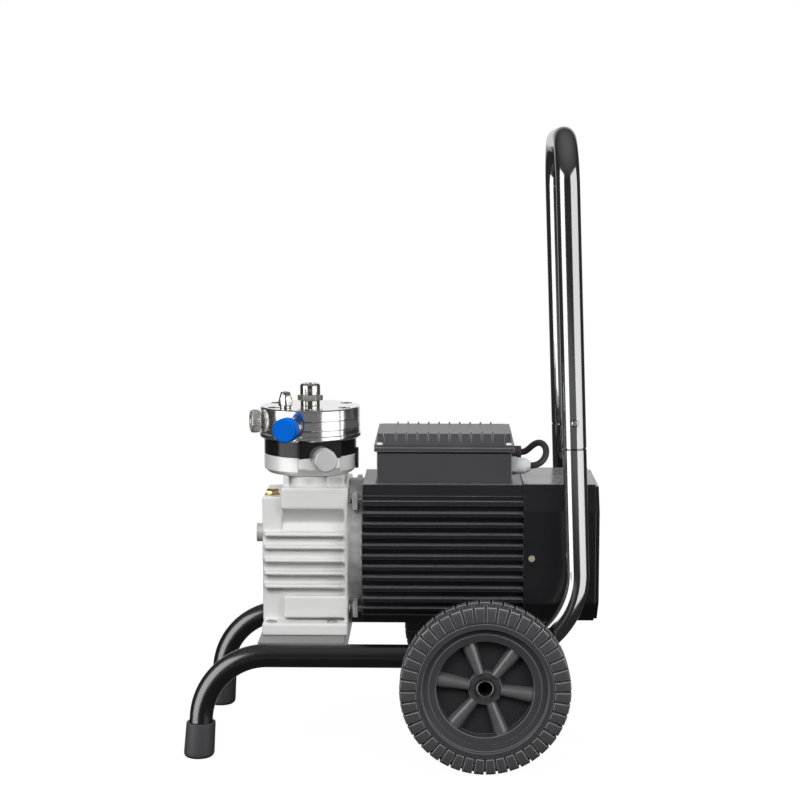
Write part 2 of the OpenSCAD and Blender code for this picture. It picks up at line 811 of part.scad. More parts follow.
module channel(x0, x1, bolt_x, bolt_y) {
    reach = rail_y - plate_tuck;
    color(BLACK) difference() {
        union() {
            block([x0, -reach, deck_z - plate_t], [x1, reach, deck_z]);
            block([x0, -reach, deck_z - channel_h], [x0 + plate_t, reach, deck_z]);
            block([x1 - plate_t, -reach, deck_z - channel_h], [x1, reach, deck_z]);
        }
        for (s = [-1, 1]) translate([0, s * rail_y, 0]) rail_run(tube_r + seat_gap, 0);
        for (x = bolt_x, s = [-1, 1]) translate([x, s * bolt_y, deck_z - channel_h])
            cylinder(r = bolt_r + 0.3, h = channel_h + 1);
    }
}

module front_deck() {
    channel(pump_x0 - 1, pump_x1 - 3, pump_bolt_x, pump_bolt_y);
}

module rear_crossmember() {
    channel(foot_x0 - 4, foot_x0 + foot_l + 4, motor_bolt_x, motor_bolt_y);
}

module mounting_bolt() {
    head_h = bolt_d * 0.65;
    translate([0, 0, -plate_t - seat_gap - head_h]) cylinder(r = bolt_d * 0.93, h = head_h, $fn = 6);
    translate([0, 0, -plate_t - 2 * seat_gap]) cylinder(r = bolt_r, h = plate_t + bolt_reach);
}

module mounting_bolts() {
    color(STEEL) {
        for (x = pump_bolt_x, s = [-1, 1]) translate([x, s * pump_bolt_y, deck_z]) mounting_bolt();
        for (x = motor_bolt_x, s = [-1, 1]) translate([x, s * motor_bolt_y, deck_z]) mounting_bolt();
    }
}

// Motor

module motor_housing() {
    grooves = floor(half_motor_h / fin_pitch);
    bore_r = stator_r + seat_gap;
    color(BLACK) difference() {
        union() {
            at_shaft() along_x(motor_x0, motor_x1) polygon(MOTOR_OUTLINE);
            block([foot_x0, -foot_w / 2, deck_z + seat_gap],
                [foot_x0 + foot_l, foot_w / 2, shaft_z - half_motor_h + 8]);
        }
        at_shaft() rod_x(motor_x0 - 1, motor_x1 + 1, bore_r);
        for (s = [-1, 1], i = [-grooves:grooves - 1]) at_shaft()
            translate([motor_x0 - 1, s * half_motor_w, (i + 0.5) * fin_pitch])
            translate([0, -fin_depth, -(fin_pitch - fin_t) / 2])
            cube([motor_front + motor_back + 2, 2 * fin_depth, fin_pitch - fin_t]);
        block([box_x0 - 1, -box_y - 1, box_z - seat_gap], [box_x1 + 1, box_y + 1, motor_top_z + 1]);
        for (x = motor_bolt_x, s = [-1, 1]) translate([x, s * motor_bolt_y, deck_z - 1])
            cylinder(r = bolt_r + seat_gap, h = bolt_reach + 2);
        for (y = [-1, 1], z = [-1, 1]) at_shaft() translate([0, y * bell_lug_y, z * bell_lug_z])
            rod_x(motor_x0 - 1, motor_x0 + bell_bolt_l + 1, lug_bolt_r + seat_gap);
    }
}

module drive_bell() {
    color(STEEL) at_shaft() difference() {
        union() {
            rod_x(pump_x1 + seat_gap, motor_x0 - seat_gap, bell_d / 2);
            for (y = [-1, 1], z = [-1, 1])
                translate([bell_lug_x, y * bell_lug_y - bell_lug / 2, z * bell_lug_z - bell_lug / 2])
                cube([bell_lug_t, bell_lug, bell_lug]);
        }
        difference() {
            rod_x(bell_lug_x, motor_x0, stator_r);
            rod_x(pump_x1, motor_x0, bearing_boss_r);
        }
        rod_x(front_bearing_x, motor_x0, bearing_r + seat_gap);
        rod_x(pump_x1, motor_x0, shaft_r + 2);
        for (y = [-1, 1], z = [-1, 1]) translate([0, y * bell_lug_y, z * bell_lug_z])
            rod_x(bell_lug_x - 1, motor_x0 + 1, lug_bolt_r + 0.2);
    }
}

module bell_bolts() {
    color(STEEL) at_shaft() for (y = [-1, 1], z = [-1, 1]) translate([0, y * bell_lug_y, z * bell_lug_z]) {
        rod_x(bell_lug_x - lug_bolt_r * 1.5, bell_lug_x - seat_gap, lug_bolt_r * 1.8);
        rod_x(bell_lug_x - 1, motor_x0 + bell_bolt_l, lug_bolt_r);
    }
}

module rear_shield() {
    lug_w = 24;
    lug_from = 40;
    screw_bite = 16;
    boss_x1 = rear_bearing_x + bearing_w + 2;
    inner = inward(COWL_OUTLINE, cowl_wall + seat_gap);
    color(STEEL) at_shaft() difference() {
        intersection() {
            union() {
                rod_x(motor_x1 + seat_gap, motor_x1 + shield_t, shield_r);
                rod_x(motor_x1 + seat_gap, boss_x1, bearing_boss_r);
                for (a = [0:90:270]) rotate([a, 0, 0])
                    block([motor_x1 + seat_gap, lug_from, -lug_w / 2],
                        [cowl_screw_x + 6, cowl_top, lug_w / 2]);
            }
            along_x(motor_x1, boss_x1) polygon(inner);
        }
        rod_x(rear_bearing_x, boss_x1 + 1, bearing_r + seat_gap);
        rod_x(motor_x1 - 1, boss_x1, shaft_r + 1);
        for (s = [-1, 1]) on_side(s) translate([cowl_screw_x, 0, 0])
            rod_y(half_motor_w - screw_bite, half_motor_w, screw_r + seat_gap);
    }
}

module stator_core() {
    color(STEEL) at_shaft() difference() {
        rod_x(core_x0, core_x1, stator_r);
        rod_x(core_x0 - 1, core_x1 + 1, rotor_r + rotor_air);
    }
}

module stator_windings() {
    inner = rotor_r + 4;
    outer = min(inner + winding_wall, stator_r - 2);
    color([0.7, 0.35, 0.15]) at_shaft() {
        difference() {
            rod_x(core_x0 - winding_l, core_x0 - seat_gap, outer);
            rod_x(core_x0 - winding_l - 1, core_x0, inner);
        }
        difference() {
            rod_x(core_x1 + seat_gap, core_x1 + winding_l, outer);
            rod_x(core_x1, core_x1 + winding_l + 1, inner);
        }
    }
}

module rotor_core() {
    color(STEEL) at_shaft() difference() {
        rod_x(core_x0, core_x1, rotor_r);
        rod_x(core_x0 - 1, core_x1 + 1, shaft_r + seat_gap);
    }
}

module rotor_shaft() {
    color(STEEL) at_shaft() rod_x(crank_bearing_x, fan_x + fan_w - 4, shaft_r);
}

module bearing(x) {
    difference() {
        rod_x(x, x + bearing_w, bearing_r);
        rod_x(x - 1, x + bearing_w + 1, shaft_r + run_gap);
        for (end = [x - 1, x + bearing_w - 1]) difference() {
            rod_x(end, end + 2, bearing_r - 3.5);
            rod_x(end - 1, end + 3, shaft_r + 3.5);
        }
    }
}

module shaft_bearings() {
    color(BRIGHT) at_shaft() for (x = [crank_bearing_x, front_bearing_x, rear_bearing_x])
        bearing(x + seat_gap);
}

module cooling_fan() {
    color(PLASTIC) at_shaft() difference() {
        union() {
            rod_x(fan_x, fan_x + fan_w, fan_hub_r);
            rod_x(fan_x, fan_x + 3, fan_d / 2);
            for (i = [0:blade_n - 1]) rotate([360 * i / blade_n, 0, 0])
                block([fan_x, fan_hub_r - 2, -blade_t / 2], [fan_x + fan_w - 6, fan_d / 2 - 1, blade_t / 2]);
        }
        rod_x(fan_x - 1, fan_x + fan_w + 1, shaft_r + seat_gap);
    }
}

module fan_cowl() {
    color(BLACK) at_shaft() difference() {
        along_x(cowl_x0 + 1 + seat_gap, cowl_x1 - grille_t) polygon(COWL_OUTLINE);
        along_x(cowl_x0, cowl_x1) polygon(inward(COWL_OUTLINE, cowl_wall));
        for (s = [-1, 1]) on_side(s) translate([cowl_screw_x, 0, 0])
            rod_y(half_motor_w - 6, half_motor_w + 1, screw_r + seat_gap);
    }
}

module cowl_grille() {
    slot_h = 5;
    slot_pitch = 10;
    rows = 6;
    color(BLACK) at_shaft() difference() {
        union() {
            along_x(cowl_x1 - grille_t + seat_gap, cowl_x1) polygon(inward(COWL_OUTLINE, grille_inset));
            along_x(cowl_x1 - grille_t - 5, cowl_x1 - grille_t + 1)
                polygon(inward(COWL_OUTLINE, cowl_wall + seat_gap));
        }
        along_x(cowl_x1 - grille_t - 6, cowl_x1 - grille_t + seat_gap)
            polygon(inward(COWL_OUTLINE, 2 * cowl_wall));
        for (i = [-rows:rows]) let (h = i * slot_pitch, span = sqrt(pow(fan_d / 2, 2) - h * h))
            block([cowl_x1 - grille_t - 1, -span, h - slot_h / 2], [cowl_x1 + 1, span, h + slot_h / 2]);
    }
}

module cover_screw(l) {
    cylinder(r = screw_head_r, h = 2.4);
    translate([0, 0, -l]) cylinder(r = screw_r, h = l + 0.5);
}

module cover_screws() {
    color(BRASS) {
        for (s = [-1, 1]) on_side(s) translate([cowl_screw_x, half_motor_w + seat_gap, shaft_z])
            rotate([-90, 0, 0]) cover_screw(12);
        lid_screw_places() cover_screw(9);
    }
}

// Terminal box

module lid_screw_places() {
    for (x = [box_x0 + lid_screw_inset[0], box_x1 - lid_screw_inset[0]], s = [-1, 1])
        translate([x, s * (box_y - lid_screw_inset[1]), lid_z + lid_edge + seat_gap]) children();
}

module box_base() {
    color(PLASTIC) difference() {
        union() {
            block([box_x0, -box_y, box_z], [box_x1, box_y, box_rim_z + rim_h]);
            block([rim_x0, -rim_y, box_rim_z], [rim_x1, rim_y, box_rim_z + rim_h]);
        }
        block([box_x0 + box_wall, -box_y + box_wall, box_z + box_wall],
            [box_x1 - box_wall, box_y - box_wall, box_rim_z + rim_h + 1]);
        translate([box_x1, -gland_y, gland_z]) rod_x(-box_wall - 1, 1, gland_thread_r);
        translate([side_gland_x, box_y, gland_z]) rod_y(-box_wall - 1, 1, gland_thread_r);
        translate([box_x1, gland_y, socket_z]) rod_x(-box_wall - 1, 1, socket_r - 2);
        lid_screw_places() translate([0, 0, -10]) cylinder(r = screw_r + seat_gap, h = 12);
    }
}

module box_lid() {
    rib_x0 = (box_x0 + box_x1) / 2 - ((lid_rib_n - 1) * lid_rib_pitch + lid_rib_t) / 2;
    rib = [[box_y - 9, 1], [box_y + 1.8, 1], [box_y + 1.8, lid_edge], [box_y - 2.5, lid_h + lid_rib_up],
        [box_y - 6, lid_h + lid_rib_up], [box_y - 9, lid_h - 3]];
    color(PLASTIC) difference() {
        union() {
            translate([0, 0, lid_z]) along_x(box_x0, box_x1) polygon([[-rim_y, 0], [rim_y, 0],
                [rim_y, lid_edge], [lid_top_y, lid_h], [-lid_top_y, lid_h], [-rim_y, lid_edge]]);
            block([rim_x0, -rim_y, lid_z], [rim_x1, rim_y, lid_z + lid_edge]);
            for (i = [0:lid_rib_n - 1], s = [-1, 1]) on_side(s) translate([0, 0, lid_z])
                along_x(rib_x0 + i * lid_rib_pitch, rib_x0 + i * lid_rib_pitch + lid_rib_t) polygon(rib);
        }
        translate([0, 0, lid_z - 1]) along_x(box_x0 + box_wall, box_x1 - box_wall)
            polygon([[-box_y + 6, 0], [box_y - 6, 0], [box_y - 12, lid_h - box_wall + 1],
                [-box_y + 12, lid_h - box_wall + 1]]);
        lid_screw_places() translate([0, 0, -seat_gap]) cylinder(r = screw_head_r + 1.2, h = lid_h);
        lid_screw_places() translate([0, 0, -lid_edge - 1]) cylinder(r = screw_r + 0.2, h = lid_edge + 2);
    }
}

module lid_gasket() {
    color(BLACK) difference() {
        block([box_x0 + box_wall + seat_gap, -box_y + box_wall + seat_gap, lid_z - gasket_t],
            [box_x1 - box_wall - seat_gap, box_y - box_wall - seat_gap, lid_z - seat_gap]);
        block([box_x0 + 8, -box_y + 8, lid_z - gasket_t - 1], [box_x1 - 8, box_y - 8, lid_z + 1]);
    }
}

module capacitors() {
    r = capacitor_d / 2;
    color(BRIGHT) for (s = [-1, 1])
        translate([0, s * (r + 3), box_z + box_wall + seat_gap + r]) {
            rod_x(box_x0 + 12, box_x0 + 12 + capacitor_l, r);
            for (t = [-1, 1]) translate([box_x0 + 11 + capacitor_l, t * 6 - 1, -3]) cube([8, 2, 6]);
        }
}

module gland() {
    color(CASTING) difference() {
        union() {
            translate([0, 0, seat_gap]) cylinder(r = gland_d / 2, h = gland_nut_l, $fn = 6);
            cylinder(r = gland_dome_r, h = gland_neck_l);
            translate([0, 0, gland_neck_l])
                cylinder(r1 = gland_dome_r, r2 = lead_d / 2 + 2, h = gland_l - gland_neck_l);
            translate([0, 0, -box_wall - 3]) cylinder(r = gland_thread_r - seat_gap, h = box_wall + 4);
        }
        translate([0, 0, -box_wall - 4]) cylinder(r = gland_bore_r, h = gland_l + box_wall + 5);
    }
}

module cable_glands() {
    translate([box_x1, -gland_y, gland_z]) rotate([0, 90, 0]) gland();
    translate([side_gland_x, box_y, gland_z]) rotate([-90, 0, 0]) gland();
}

module lead_socket() {
    color(PLASTIC) translate([box_x1, gland_y, socket_z]) difference() {
        union() {
            rod_x(seat_gap, socket_l, socket_r);
            rod_x(-box_wall - 2, seat_gap, socket_r - 2 - seat_gap);
        }
        rod_x(4, socket_l + 1, gland_bore_r);
    }
}

module control_lead() {
    color(RUBBER) translate([box_x1, 0, gland_z]) swept(LEAD_ROUTE, lead_d / 2, LEAD_SIDES);
}

// Pump body

module pump_body() {
    color(CASTING) difference() {
        union() {
            block([pump_x0 + 1, -base_w / 2, deck_z + seat_gap], [pump_x1, base_w / 2, foot_z]);
            at_shaft() rod_x(pump_x0, pump_x1, case_r);
            block([pump_x0, -shoulder_y, foot_z - 1], [shoulder_x, shoulder_y, shoulder_z]);
            block([shoulder_x, -half_case_w, case_top_z - slab_t], [pump_x1, half_case_w, case_top_z]);
            block([shoulder_x, -waist_y, shaft_z], [pump_x1, waist_y, case_top_z - 1]);
            block([pump_x0 + case_wall, -shoulder_y, foot_z - 1],
                [pump_x1, shoulder_y, shaft_z - case_r / 2]);
            block([shoulder_x + 3, -half_case_w, sump_z0], [pump_x1, half_case_w, sump_z0 + sump_h]);
            for (i = [0:rib_n - 1]) block([pump_x0 + 3, -half_case_w, rib_z - i * rib_pitch],
                [pump_x1, half_case_w, rib_z - i * rib_pitch + rib_t]);
            block([flange_x0, -half_case_w - 1, foot_z - 1], [pump_x1, half_case_w + 1, case_top_z]);
            translate([pump_x, 0, case_top_z - 1]) cylinder(r = neck_d / 2, h = neck_h + 1);
            block([pump_x, -gusset_w / 2, case_top_z - 1], [pump_x1 - 8, gusset_w / 2, neck_z]);
        }
        at_shaft() difference() {
            rod_x(pump_x0 + 8, pump_x1 + 1, case_bore_r);
            rod_x(pump_x0, pump_x0 + crank_boss_l, bearing_boss_r);
        }
        at_shaft() rod_x(crank_bearing_x, pump_x1, bearing_r + seat_gap);
        translate([pump_x, 0, shaft_z]) cylinder(r = sleeve_r + seat_gap, h = neck_z - shaft_z + 1);
        translate([filler_x, filler_y, shoulder_z - 12]) cylinder(r = filler_thread_r + seat_gap, h = 14);
        translate([pump_x0, 0, sight_z]) rod_x(-1, 7.5, sight_thread_r + seat_gap);
        for (x = pump_bolt_x, s = [-1, 1]) translate([x, s * pump_bolt_y, deck_z - 1])
            cylinder(r = bolt_r + seat_gap, h = base_t + 2);
    }
}

module eccentric() {
    color(STEEL) at_shaft() difference() {
        translate([0, 0, throw]) rod_x(pump_x - ecc_l / 2, pump_x + ecc_l / 2, ecc_r);
        rod_x(pump_x - ecc_l, pump_x + ecc_l, shaft_r + seat_gap);
    }
}

module eccentric_race() {
    color(BRIGHT) at_shaft() translate([0, 0, throw]) difference() {
        rod_x(pump_x - ecc_l / 2 + 1, pump_x + ecc_l / 2 - 1, race_r);
        rod_x(pump_x - ecc_l, pump_x + ecc_l, ecc_r + seat_gap);
    }
}

module piston_sleeve() {
    color(STEEL) translate([pump_x, 0, 0]) difference() {
        union() {
            translate([0, 0, sleeve_z]) cylinder(r = sleeve_r, h = sleeve_top_z - sleeve_z + 1);
            translate([0, 0, sleeve_top_z + seat_gap]) cylinder(r = sleeve_flange_r, h = sleeve_flange_t);
        }
        translate([0, 0, sleeve_z - 1])
            cylinder(r = piston_r + run_gap, h = sleeve_top_z - sleeve_z + sleeve_flange_t + 4);
    }
}

module piston() {
    color(BRIGHT) translate([pump_x, 0, piston_z]) {
        cylinder(r = piston_head_r, h = piston_head_t);
        cylinder(r = piston_r, h = sleeve_top_z - piston_z - 4);
    }
}

module piston_spring() {
    wire_r = 1.2;
    turns = 4;
    steps = 16;
    coil_r = piston_r + wire_r + 0.4;
    z0 = piston_z + piston_head_t + wire_r + seat_gap;
    z1 = sleeve_z - wire_r - seat_gap;
    color(STEEL) translate([pump_x, 0, 0]) swept([for (i = [0:turns * steps])
        [coil_r * cos(360 * i / steps), coil_r * sin(360 * i / steps), z0 + (z1 - z0) * i / (turns * steps)]],
        wire_r, 8);
}

module filler_plug() {
    color(BRASS) translate([filler_x, filler_y, shoulder_z]) {
        translate([0, 0, seat_gap]) cylinder(r = filler_r + 1, h = 1.5);
        translate([0, 0, 1.5]) cylinder(r = filler_r, h = 6, $fn = 6);
        translate([0, 0, -9]) cylinder(r = filler_thread_r, h = 10);
    }
}

module sight_plug() {
    color(BRIGHT) translate([pump_x0, 0, sight_z]) difference() {
        union() {
            rod_x(-11, -seat_gap, sight_r);
            rod_x(-1, 7, sight_thread_r);
        }
        rod_x(-12, -8, sight_thread_r);
    }
}

// Pump head

// A round ring with a flat boss towards the pressure valve
module bossed_disc(z, h) {
    translate([pump_x, 0, z]) {
        linear_extrude(h) {
            circle(ring_r);
            rotate(-90 + boss_turn) translate([0, -boss_w / 2]) square([ring_r + boss_out, boss_w]);
        }
    }
}

module head_bolt_places(z) {
    for (a = [30:60:330]) translate([pump_x + bolt_circle_r * cos(a), bolt_circle_r * sin(a), z]) children();
}

module head_housing() {
    bevel = 5;
    color(BRIGHT) difference() {
        intersection() {
            bossed_disc(housing_z, housing_h);
            translate([pump_x, 0, housing_z]) {
                cylinder(r1 = ring_r - bevel, r2 = ring_r + bevel, h = 2 * bevel);
                translate([0, 0, 2 * bevel]) cylinder(r = ring_r + bevel, h = housing_h);
            }
        }
        translate([pump_x, 0, housing_z - 1]) cylinder(r = sleeve_r + seat_gap, h = housing_h + 2);
        translate([pump_x, 0, sleeve_top_z]) cylinder(r = chamber_r, h = chamber_h + 1);
        head_bolt_places(head_bolt_z - 2) cylinder(r = head_bolt_r + seat_gap, h = housing_h);
        pressure_pocket();
        bleed_pocket();
    }
}

module pressure_pocket() {
    at_head(-boss_turn, pressure_z) translate([0, 0, chamber_r + 2])
        cylinder(r = pressure_thread_r + seat_gap, h = ring_r);
}

module bleed_pocket() {
    at_head(-90, bleed_z) translate([0, 0, ring_r - bleed_depth])
        cylinder(r = bleed_r + seat_gap, h = ring_r);
}

module head_spacer() {
    color(BLACK) difference() {
        bossed_disc(spacer_z, spacer_h);
        translate([pump_x, 0, spacer_z - 1]) cylinder(r = chamber_r, h = spacer_h + 2);
        translate([pump_x, 0, spacer_z + spacer_h - diaphragm_t - seat_gap])
            cylinder(r = diaphragm_r + seat_gap, h = diaphragm_t + 1);
        head_bolt_places(spacer_z - 1) cylinder(r = head_bolt_r + 0.3, h = spacer_h + 2);
        pressure_pocket();
        bleed_pocket();
    }
}

module diaphragm() {
    color(RUBBER) translate([pump_x, 0, spacer_z + spacer_h - diaphragm_t]) {
        cylinder(r = diaphragm_r, h = diaphragm_t);
        translate([0, 0, -6]) cylinder(r = chamber_r - 12, h = 7);
        translate([0, 0, -14]) cylinder(r = 6, h = 9);
    }
}

module head_disc() {
    color(BRIGHT) difference() {
        translate([pump_x, 0, 0]) rotate_extrude() polygon([[0, disc_z], [disc_r - disc_lip, disc_z],
            [disc_r + disc_lip, disc_z + 2 * disc_lip], [disc_r + disc_lip, disc_z + disc_lip_h],
            [disc_r, disc_z + disc_lip_h + disc_lip],
            for (z = disc_groove_z) each [[disc_r, z], [disc_r - disc_groove, z + disc_groove],
                [disc_r, z + 2 * disc_groove]],
            [disc_r, disc_top_z - disc_chamfer], [disc_r - disc_chamfer, disc_top_z], [0, disc_top_z]]);
        translate([pump_x, 0, disc_z - 1]) cylinder(r = inlet_r, h = disc_h + 2);
        translate([pump_x, 0, disc_top_z - inlet_thread_l - 1])
            cylinder(r = inlet_thread_r + seat_gap, h = inlet_thread_l + 2);
        translate([pump_x, 0, disc_z]) cylinder(r1 = chamber_r - 4, r2 = inlet_r, h = 5);
        head_bolt_places(disc_z - 1) cylinder(r = head_bolt_r + 0.3, h = disc_h + 2);
        head_bolt_places(disc_top_z - counterbore_h) cylinder(r = counterbore_r, h = counterbore_h + 1);
        at_return() translate([0, 0, -return_thread_l - 1])
            cylinder(r = return_thread_r + seat_gap, h = return_thread_l + 2);
        at_head(relief_turn, relief_z) translate([0, 0, relief_seat])
            cylinder(r = relief_thread_r + seat_gap, h = disc_r);
        at_head(outlet_turn, outlet_z) translate([0, 0, relief_seat])
            cylinder(r = outlet_r + seat_gap, h = disc_r);
    }
}

module at_return() {
    translate([pump_x, 0, disc_top_z]) rotate([0, 0, -90 - return_turn]) translate([return_at, 0, 0])
        children();
}

module head_bolts() {
    color(STEEL) head_bolt_places(0) difference() {
        union() {
            translate([0, 0, head_bolt_z])
                cylinder(r = head_bolt_r, h = disc_top_z - counterbore_h - head_bolt_z + 1);
            translate([0, 0, disc_top_z - counterbore_h + seat_gap]) cylinder(r = head_cap_r, h = head_cap_h);
        }
        translate([0, 0, disc_top_z - 6]) cylinder(r = head_bolt_r * 0.92, h = 6, $fn = 6);
    }
}

module suction_inlet() {
    color(BRIGHT) translate([pump_x, 0, disc_top_z]) difference() {
        union() {
            translate([0, 0, -inlet_thread_l]) cylinder(r = inlet_thread_r, h = inlet_thread_l + 1);
            translate([0, 0, seat_gap]) cylinder(r = inlet_thread_r + 1, h = inlet_hex_z);
            translate([0, 0, inlet_hex_z])
                cylinder(r = inlet_thread_r + 6, h = inlet_neck_z - inlet_hex_z, $fn = 6);
            translate([0, 0, inlet_neck_z])
                cylinder(r = inlet_thread_r + 0.5, h = inlet_stub_z - inlet_neck_z);
            translate([0, 0, inlet_stub_z])
                cylinder(r = inlet_stub_r, h = inlet_h - inlet_chamfer - inlet_stub_z);
            translate([0, 0, inlet_h - inlet_chamfer])
                cylinder(r1 = inlet_stub_r, r2 = inlet_stub_r - inlet_chamfer, h = inlet_chamfer);
        }
        translate([0, 0, -inlet_thread_l - 1]) cylinder(r = inlet_r, h = inlet_h + inlet_thread_l + 2);
    }
}

module return_port() {
    color(BRIGHT) at_return() difference() {
        union() {
            translate([0, 0, -return_thread_l]) cylinder(r = return_thread_r, h = return_thread_l + 1);
            translate([0, 0, seat_gap]) cylinder(r = return_thread_r + 1.5, h = return_hex_z);
            translate([0, 0, return_hex_z])
                cylinder(r = return_hex_r, h = return_stub_z - return_hex_z, $fn = 6);
            translate([0, 0, return_stub_z])
                cylinder(r1 = return_hex_r - 0.65, r2 = return_thread_r, h = return_h - return_stub_z);
        }
        translate([0, 0, -return_thread_l - 1]) cylinder(r = return_r, h = return_h + return_thread_l + 2);
    }
}

module hose_outlet() {
    color(BRIGHT) at_head(outlet_turn, outlet_z) difference() {
        union() {
            translate([0, 0, relief_seat + 1])
                cylinder(r = outlet_r, h = outlet_hex_x + outlet_hex_l - relief_seat - 4);
            translate([0, 0, disc_r + 0.4]) cylinder(r = outlet_r + 3, h = outlet_hex_x - disc_r);
            translate([0, 0, outlet_hex_x]) cylinder(r = outlet_r + 6.5, h = outlet_hex_l, $fn = 6);
        }
        translate([0, 0, relief_seat]) cylinder(r = outlet_bore_r, h = disc_r);
    }
}

// The body of a hand valve: a threaded cartridge, a collar and the stem that its knob turns on
module valve_body(thread_r, seat, face, collar_r) {
    translate([0, 0, seat]) cylinder(r = thread_r, h = face - seat + 2);
    translate([0, 0, face]) cylinder(r = collar_r, h = knob_x - face - air_gap);
    translate([0, 0, knob_x - 1]) cylinder(r = stem_r, h = knob_l - 4);
}

module valve_knob(r) {
    difference() {
        union() {
            translate([0, 0, knob_x]) cylinder(r = r, h = knob_l - knob_chamfer);
            translate([0, 0, knob_x + knob_l - knob_chamfer])
                cylinder(r1 = r, r2 = r - knob_chamfer, h = knob_chamfer);
        }
        translate([0, 0, knob_x - 1]) cylinder(r = knob_bore_r, h = knob_l - 3);
    }
}

module relief_valve() {
    color(STEEL) at_head(relief_turn, relief_z)
        valve_body(relief_thread_r, relief_seat + 1, relief_collar_x, relief_collar_r);
}

module relief_knob() {
    color([0.0, 0.36, 0.84]) at_head(relief_turn, relief_z) valve_knob(relief_knob_d / 2);
}

module pressure_valve() {
    color(STEEL) at_head(-boss_turn, pressure_z)
        valve_body(pressure_thread_r, chamber_r + 3, pressure_collar_x, pressure_collar_r);
}

module pressure_knob() {
    color(STEEL) at_head(-boss_turn, pressure_z) valve_knob(pressure_knob_d / 2);
}

module bleed_plug() {
    color(BLACK) at_head(-90, bleed_z) translate([0, 0, ring_r - bleed_depth + seat_gap])
        cylinder(r = bleed_r, h = bleed_depth + bleed_proud);
}

rail(-1);  // rail_left
rail(1);  // rail_right
handle();
snap_button(-1);  // snap_button_left
snap_button(1);  // snap_button_right
snap_springs();
foot_boots();
axle();
axle_brackets();
axle_clips();
wheel(-1);  // wheel_left
wheel(1);  // wheel_right
tyre(-1);  // tyre_left
tyre(1);  // tyre_right
bush(-1);  // bush_left
bush(1);  // bush_right
front_deck();
rear_crossmember();
mounting_bolts();
motor_housing();
drive_bell();
rear_shield();
stator_core();
stator_windings();
rotor_core();
rotor_shaft();
shaft_bearings();
cooling_fan();
fan_cowl();
cowl_grille();
cover_screws();
bell_bolts();
box_base();
box_lid();
lid_gasket();
capacitors();
cable_glands();
lead_socket();
control_lead();
pump_body();
eccentric();
eccentric_race();
piston_sleeve();
piston();
piston_spring();
filler_plug();
sight_plug();
head_housing();
head_spacer();
diaphragm();
head_disc();
head_bolts();
suction_inlet();
return_port();
hose_outlet();
relief_valve();
relief_knob();
pressure_valve();
pressure_knob();
bleed_plug();
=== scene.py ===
import math

import bmesh
import bpy
from mathutils import Matrix, Vector


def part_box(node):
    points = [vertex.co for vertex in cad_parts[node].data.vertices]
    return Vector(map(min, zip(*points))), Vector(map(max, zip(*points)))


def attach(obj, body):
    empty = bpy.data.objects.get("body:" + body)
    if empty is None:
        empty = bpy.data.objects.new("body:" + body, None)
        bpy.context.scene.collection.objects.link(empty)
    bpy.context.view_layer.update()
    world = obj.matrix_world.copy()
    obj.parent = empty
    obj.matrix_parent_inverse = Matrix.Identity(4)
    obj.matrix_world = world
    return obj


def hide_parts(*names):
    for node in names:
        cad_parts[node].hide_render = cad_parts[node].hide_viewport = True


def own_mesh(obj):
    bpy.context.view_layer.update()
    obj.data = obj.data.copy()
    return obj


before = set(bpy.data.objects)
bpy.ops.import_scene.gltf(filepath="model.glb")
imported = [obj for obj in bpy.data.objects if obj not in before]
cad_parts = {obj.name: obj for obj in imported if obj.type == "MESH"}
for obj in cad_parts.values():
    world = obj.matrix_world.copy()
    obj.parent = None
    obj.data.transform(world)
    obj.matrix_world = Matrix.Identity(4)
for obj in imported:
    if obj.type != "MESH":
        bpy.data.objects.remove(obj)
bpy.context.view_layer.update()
scene = bpy.context.scene
scene.view_settings.view_transform = "Standard"

# ----------------------------------------------------------------------
# Studio. A camera at the side of the machine, a plain pale floor and a white room. Two tall soft
# boxes stand left and right of the camera and show only in gloss, as two upright bands in round
# parts. Five more, high all round and overhead, only light the dull surfaces.
# ----------------------------------------------------------------------
eye = Vector((0.06255, -2.3508, 0.694))
looking = Vector((-0.02294, 0.99291, -0.11663))
focal_length = 86.27


def placed(name, data):
    """A new object with this data, linked to the scene."""
    made = bpy.data.objects.new(name, data)
    scene.collection.objects.link(made)
    return made


camera = placed("camera", bpy.data.cameras.new("camera"))
camera.location = eye
camera.rotation_euler = looking.to_track_quat("-Z", "Y").to_euler()
camera.data.lens = focal_length
scene.camera = camera

floor_radius = 1.5
floor_sides = 96
floor_tone = 0.03
floor_glow = 0.97


def link(tree, source, target):
    """Joins an output socket to an input socket."""
    tree.links.new(source, target)


def ramp(tree, value, low, high, level_low, level_high):
    """A Map Range node: as the value goes from low to high, the result goes between the two levels."""
    node = tree.nodes.new("ShaderNodeMapRange")
    node.inputs["From Min"].default_value = low
    node.inputs["From Max"].default_value = high
    node.inputs["To Min"].default_value = level_low
    node.inputs["To Max"].default_value = level_high
    link(tree, value, node.inputs["Value"])
    return node.outputs["Result"]


def worked(tree, operation, *values):
    """A Math node on sockets and plain numbers."""
    node = tree.nodes.new("ShaderNodeMath")
    node.operation = operation
    for socket, value in zip(node.inputs, values):
        if isinstance(value, float):
            socket.default_value = value
        else:
            link(tree, value, socket)
    return node.outputs[0]


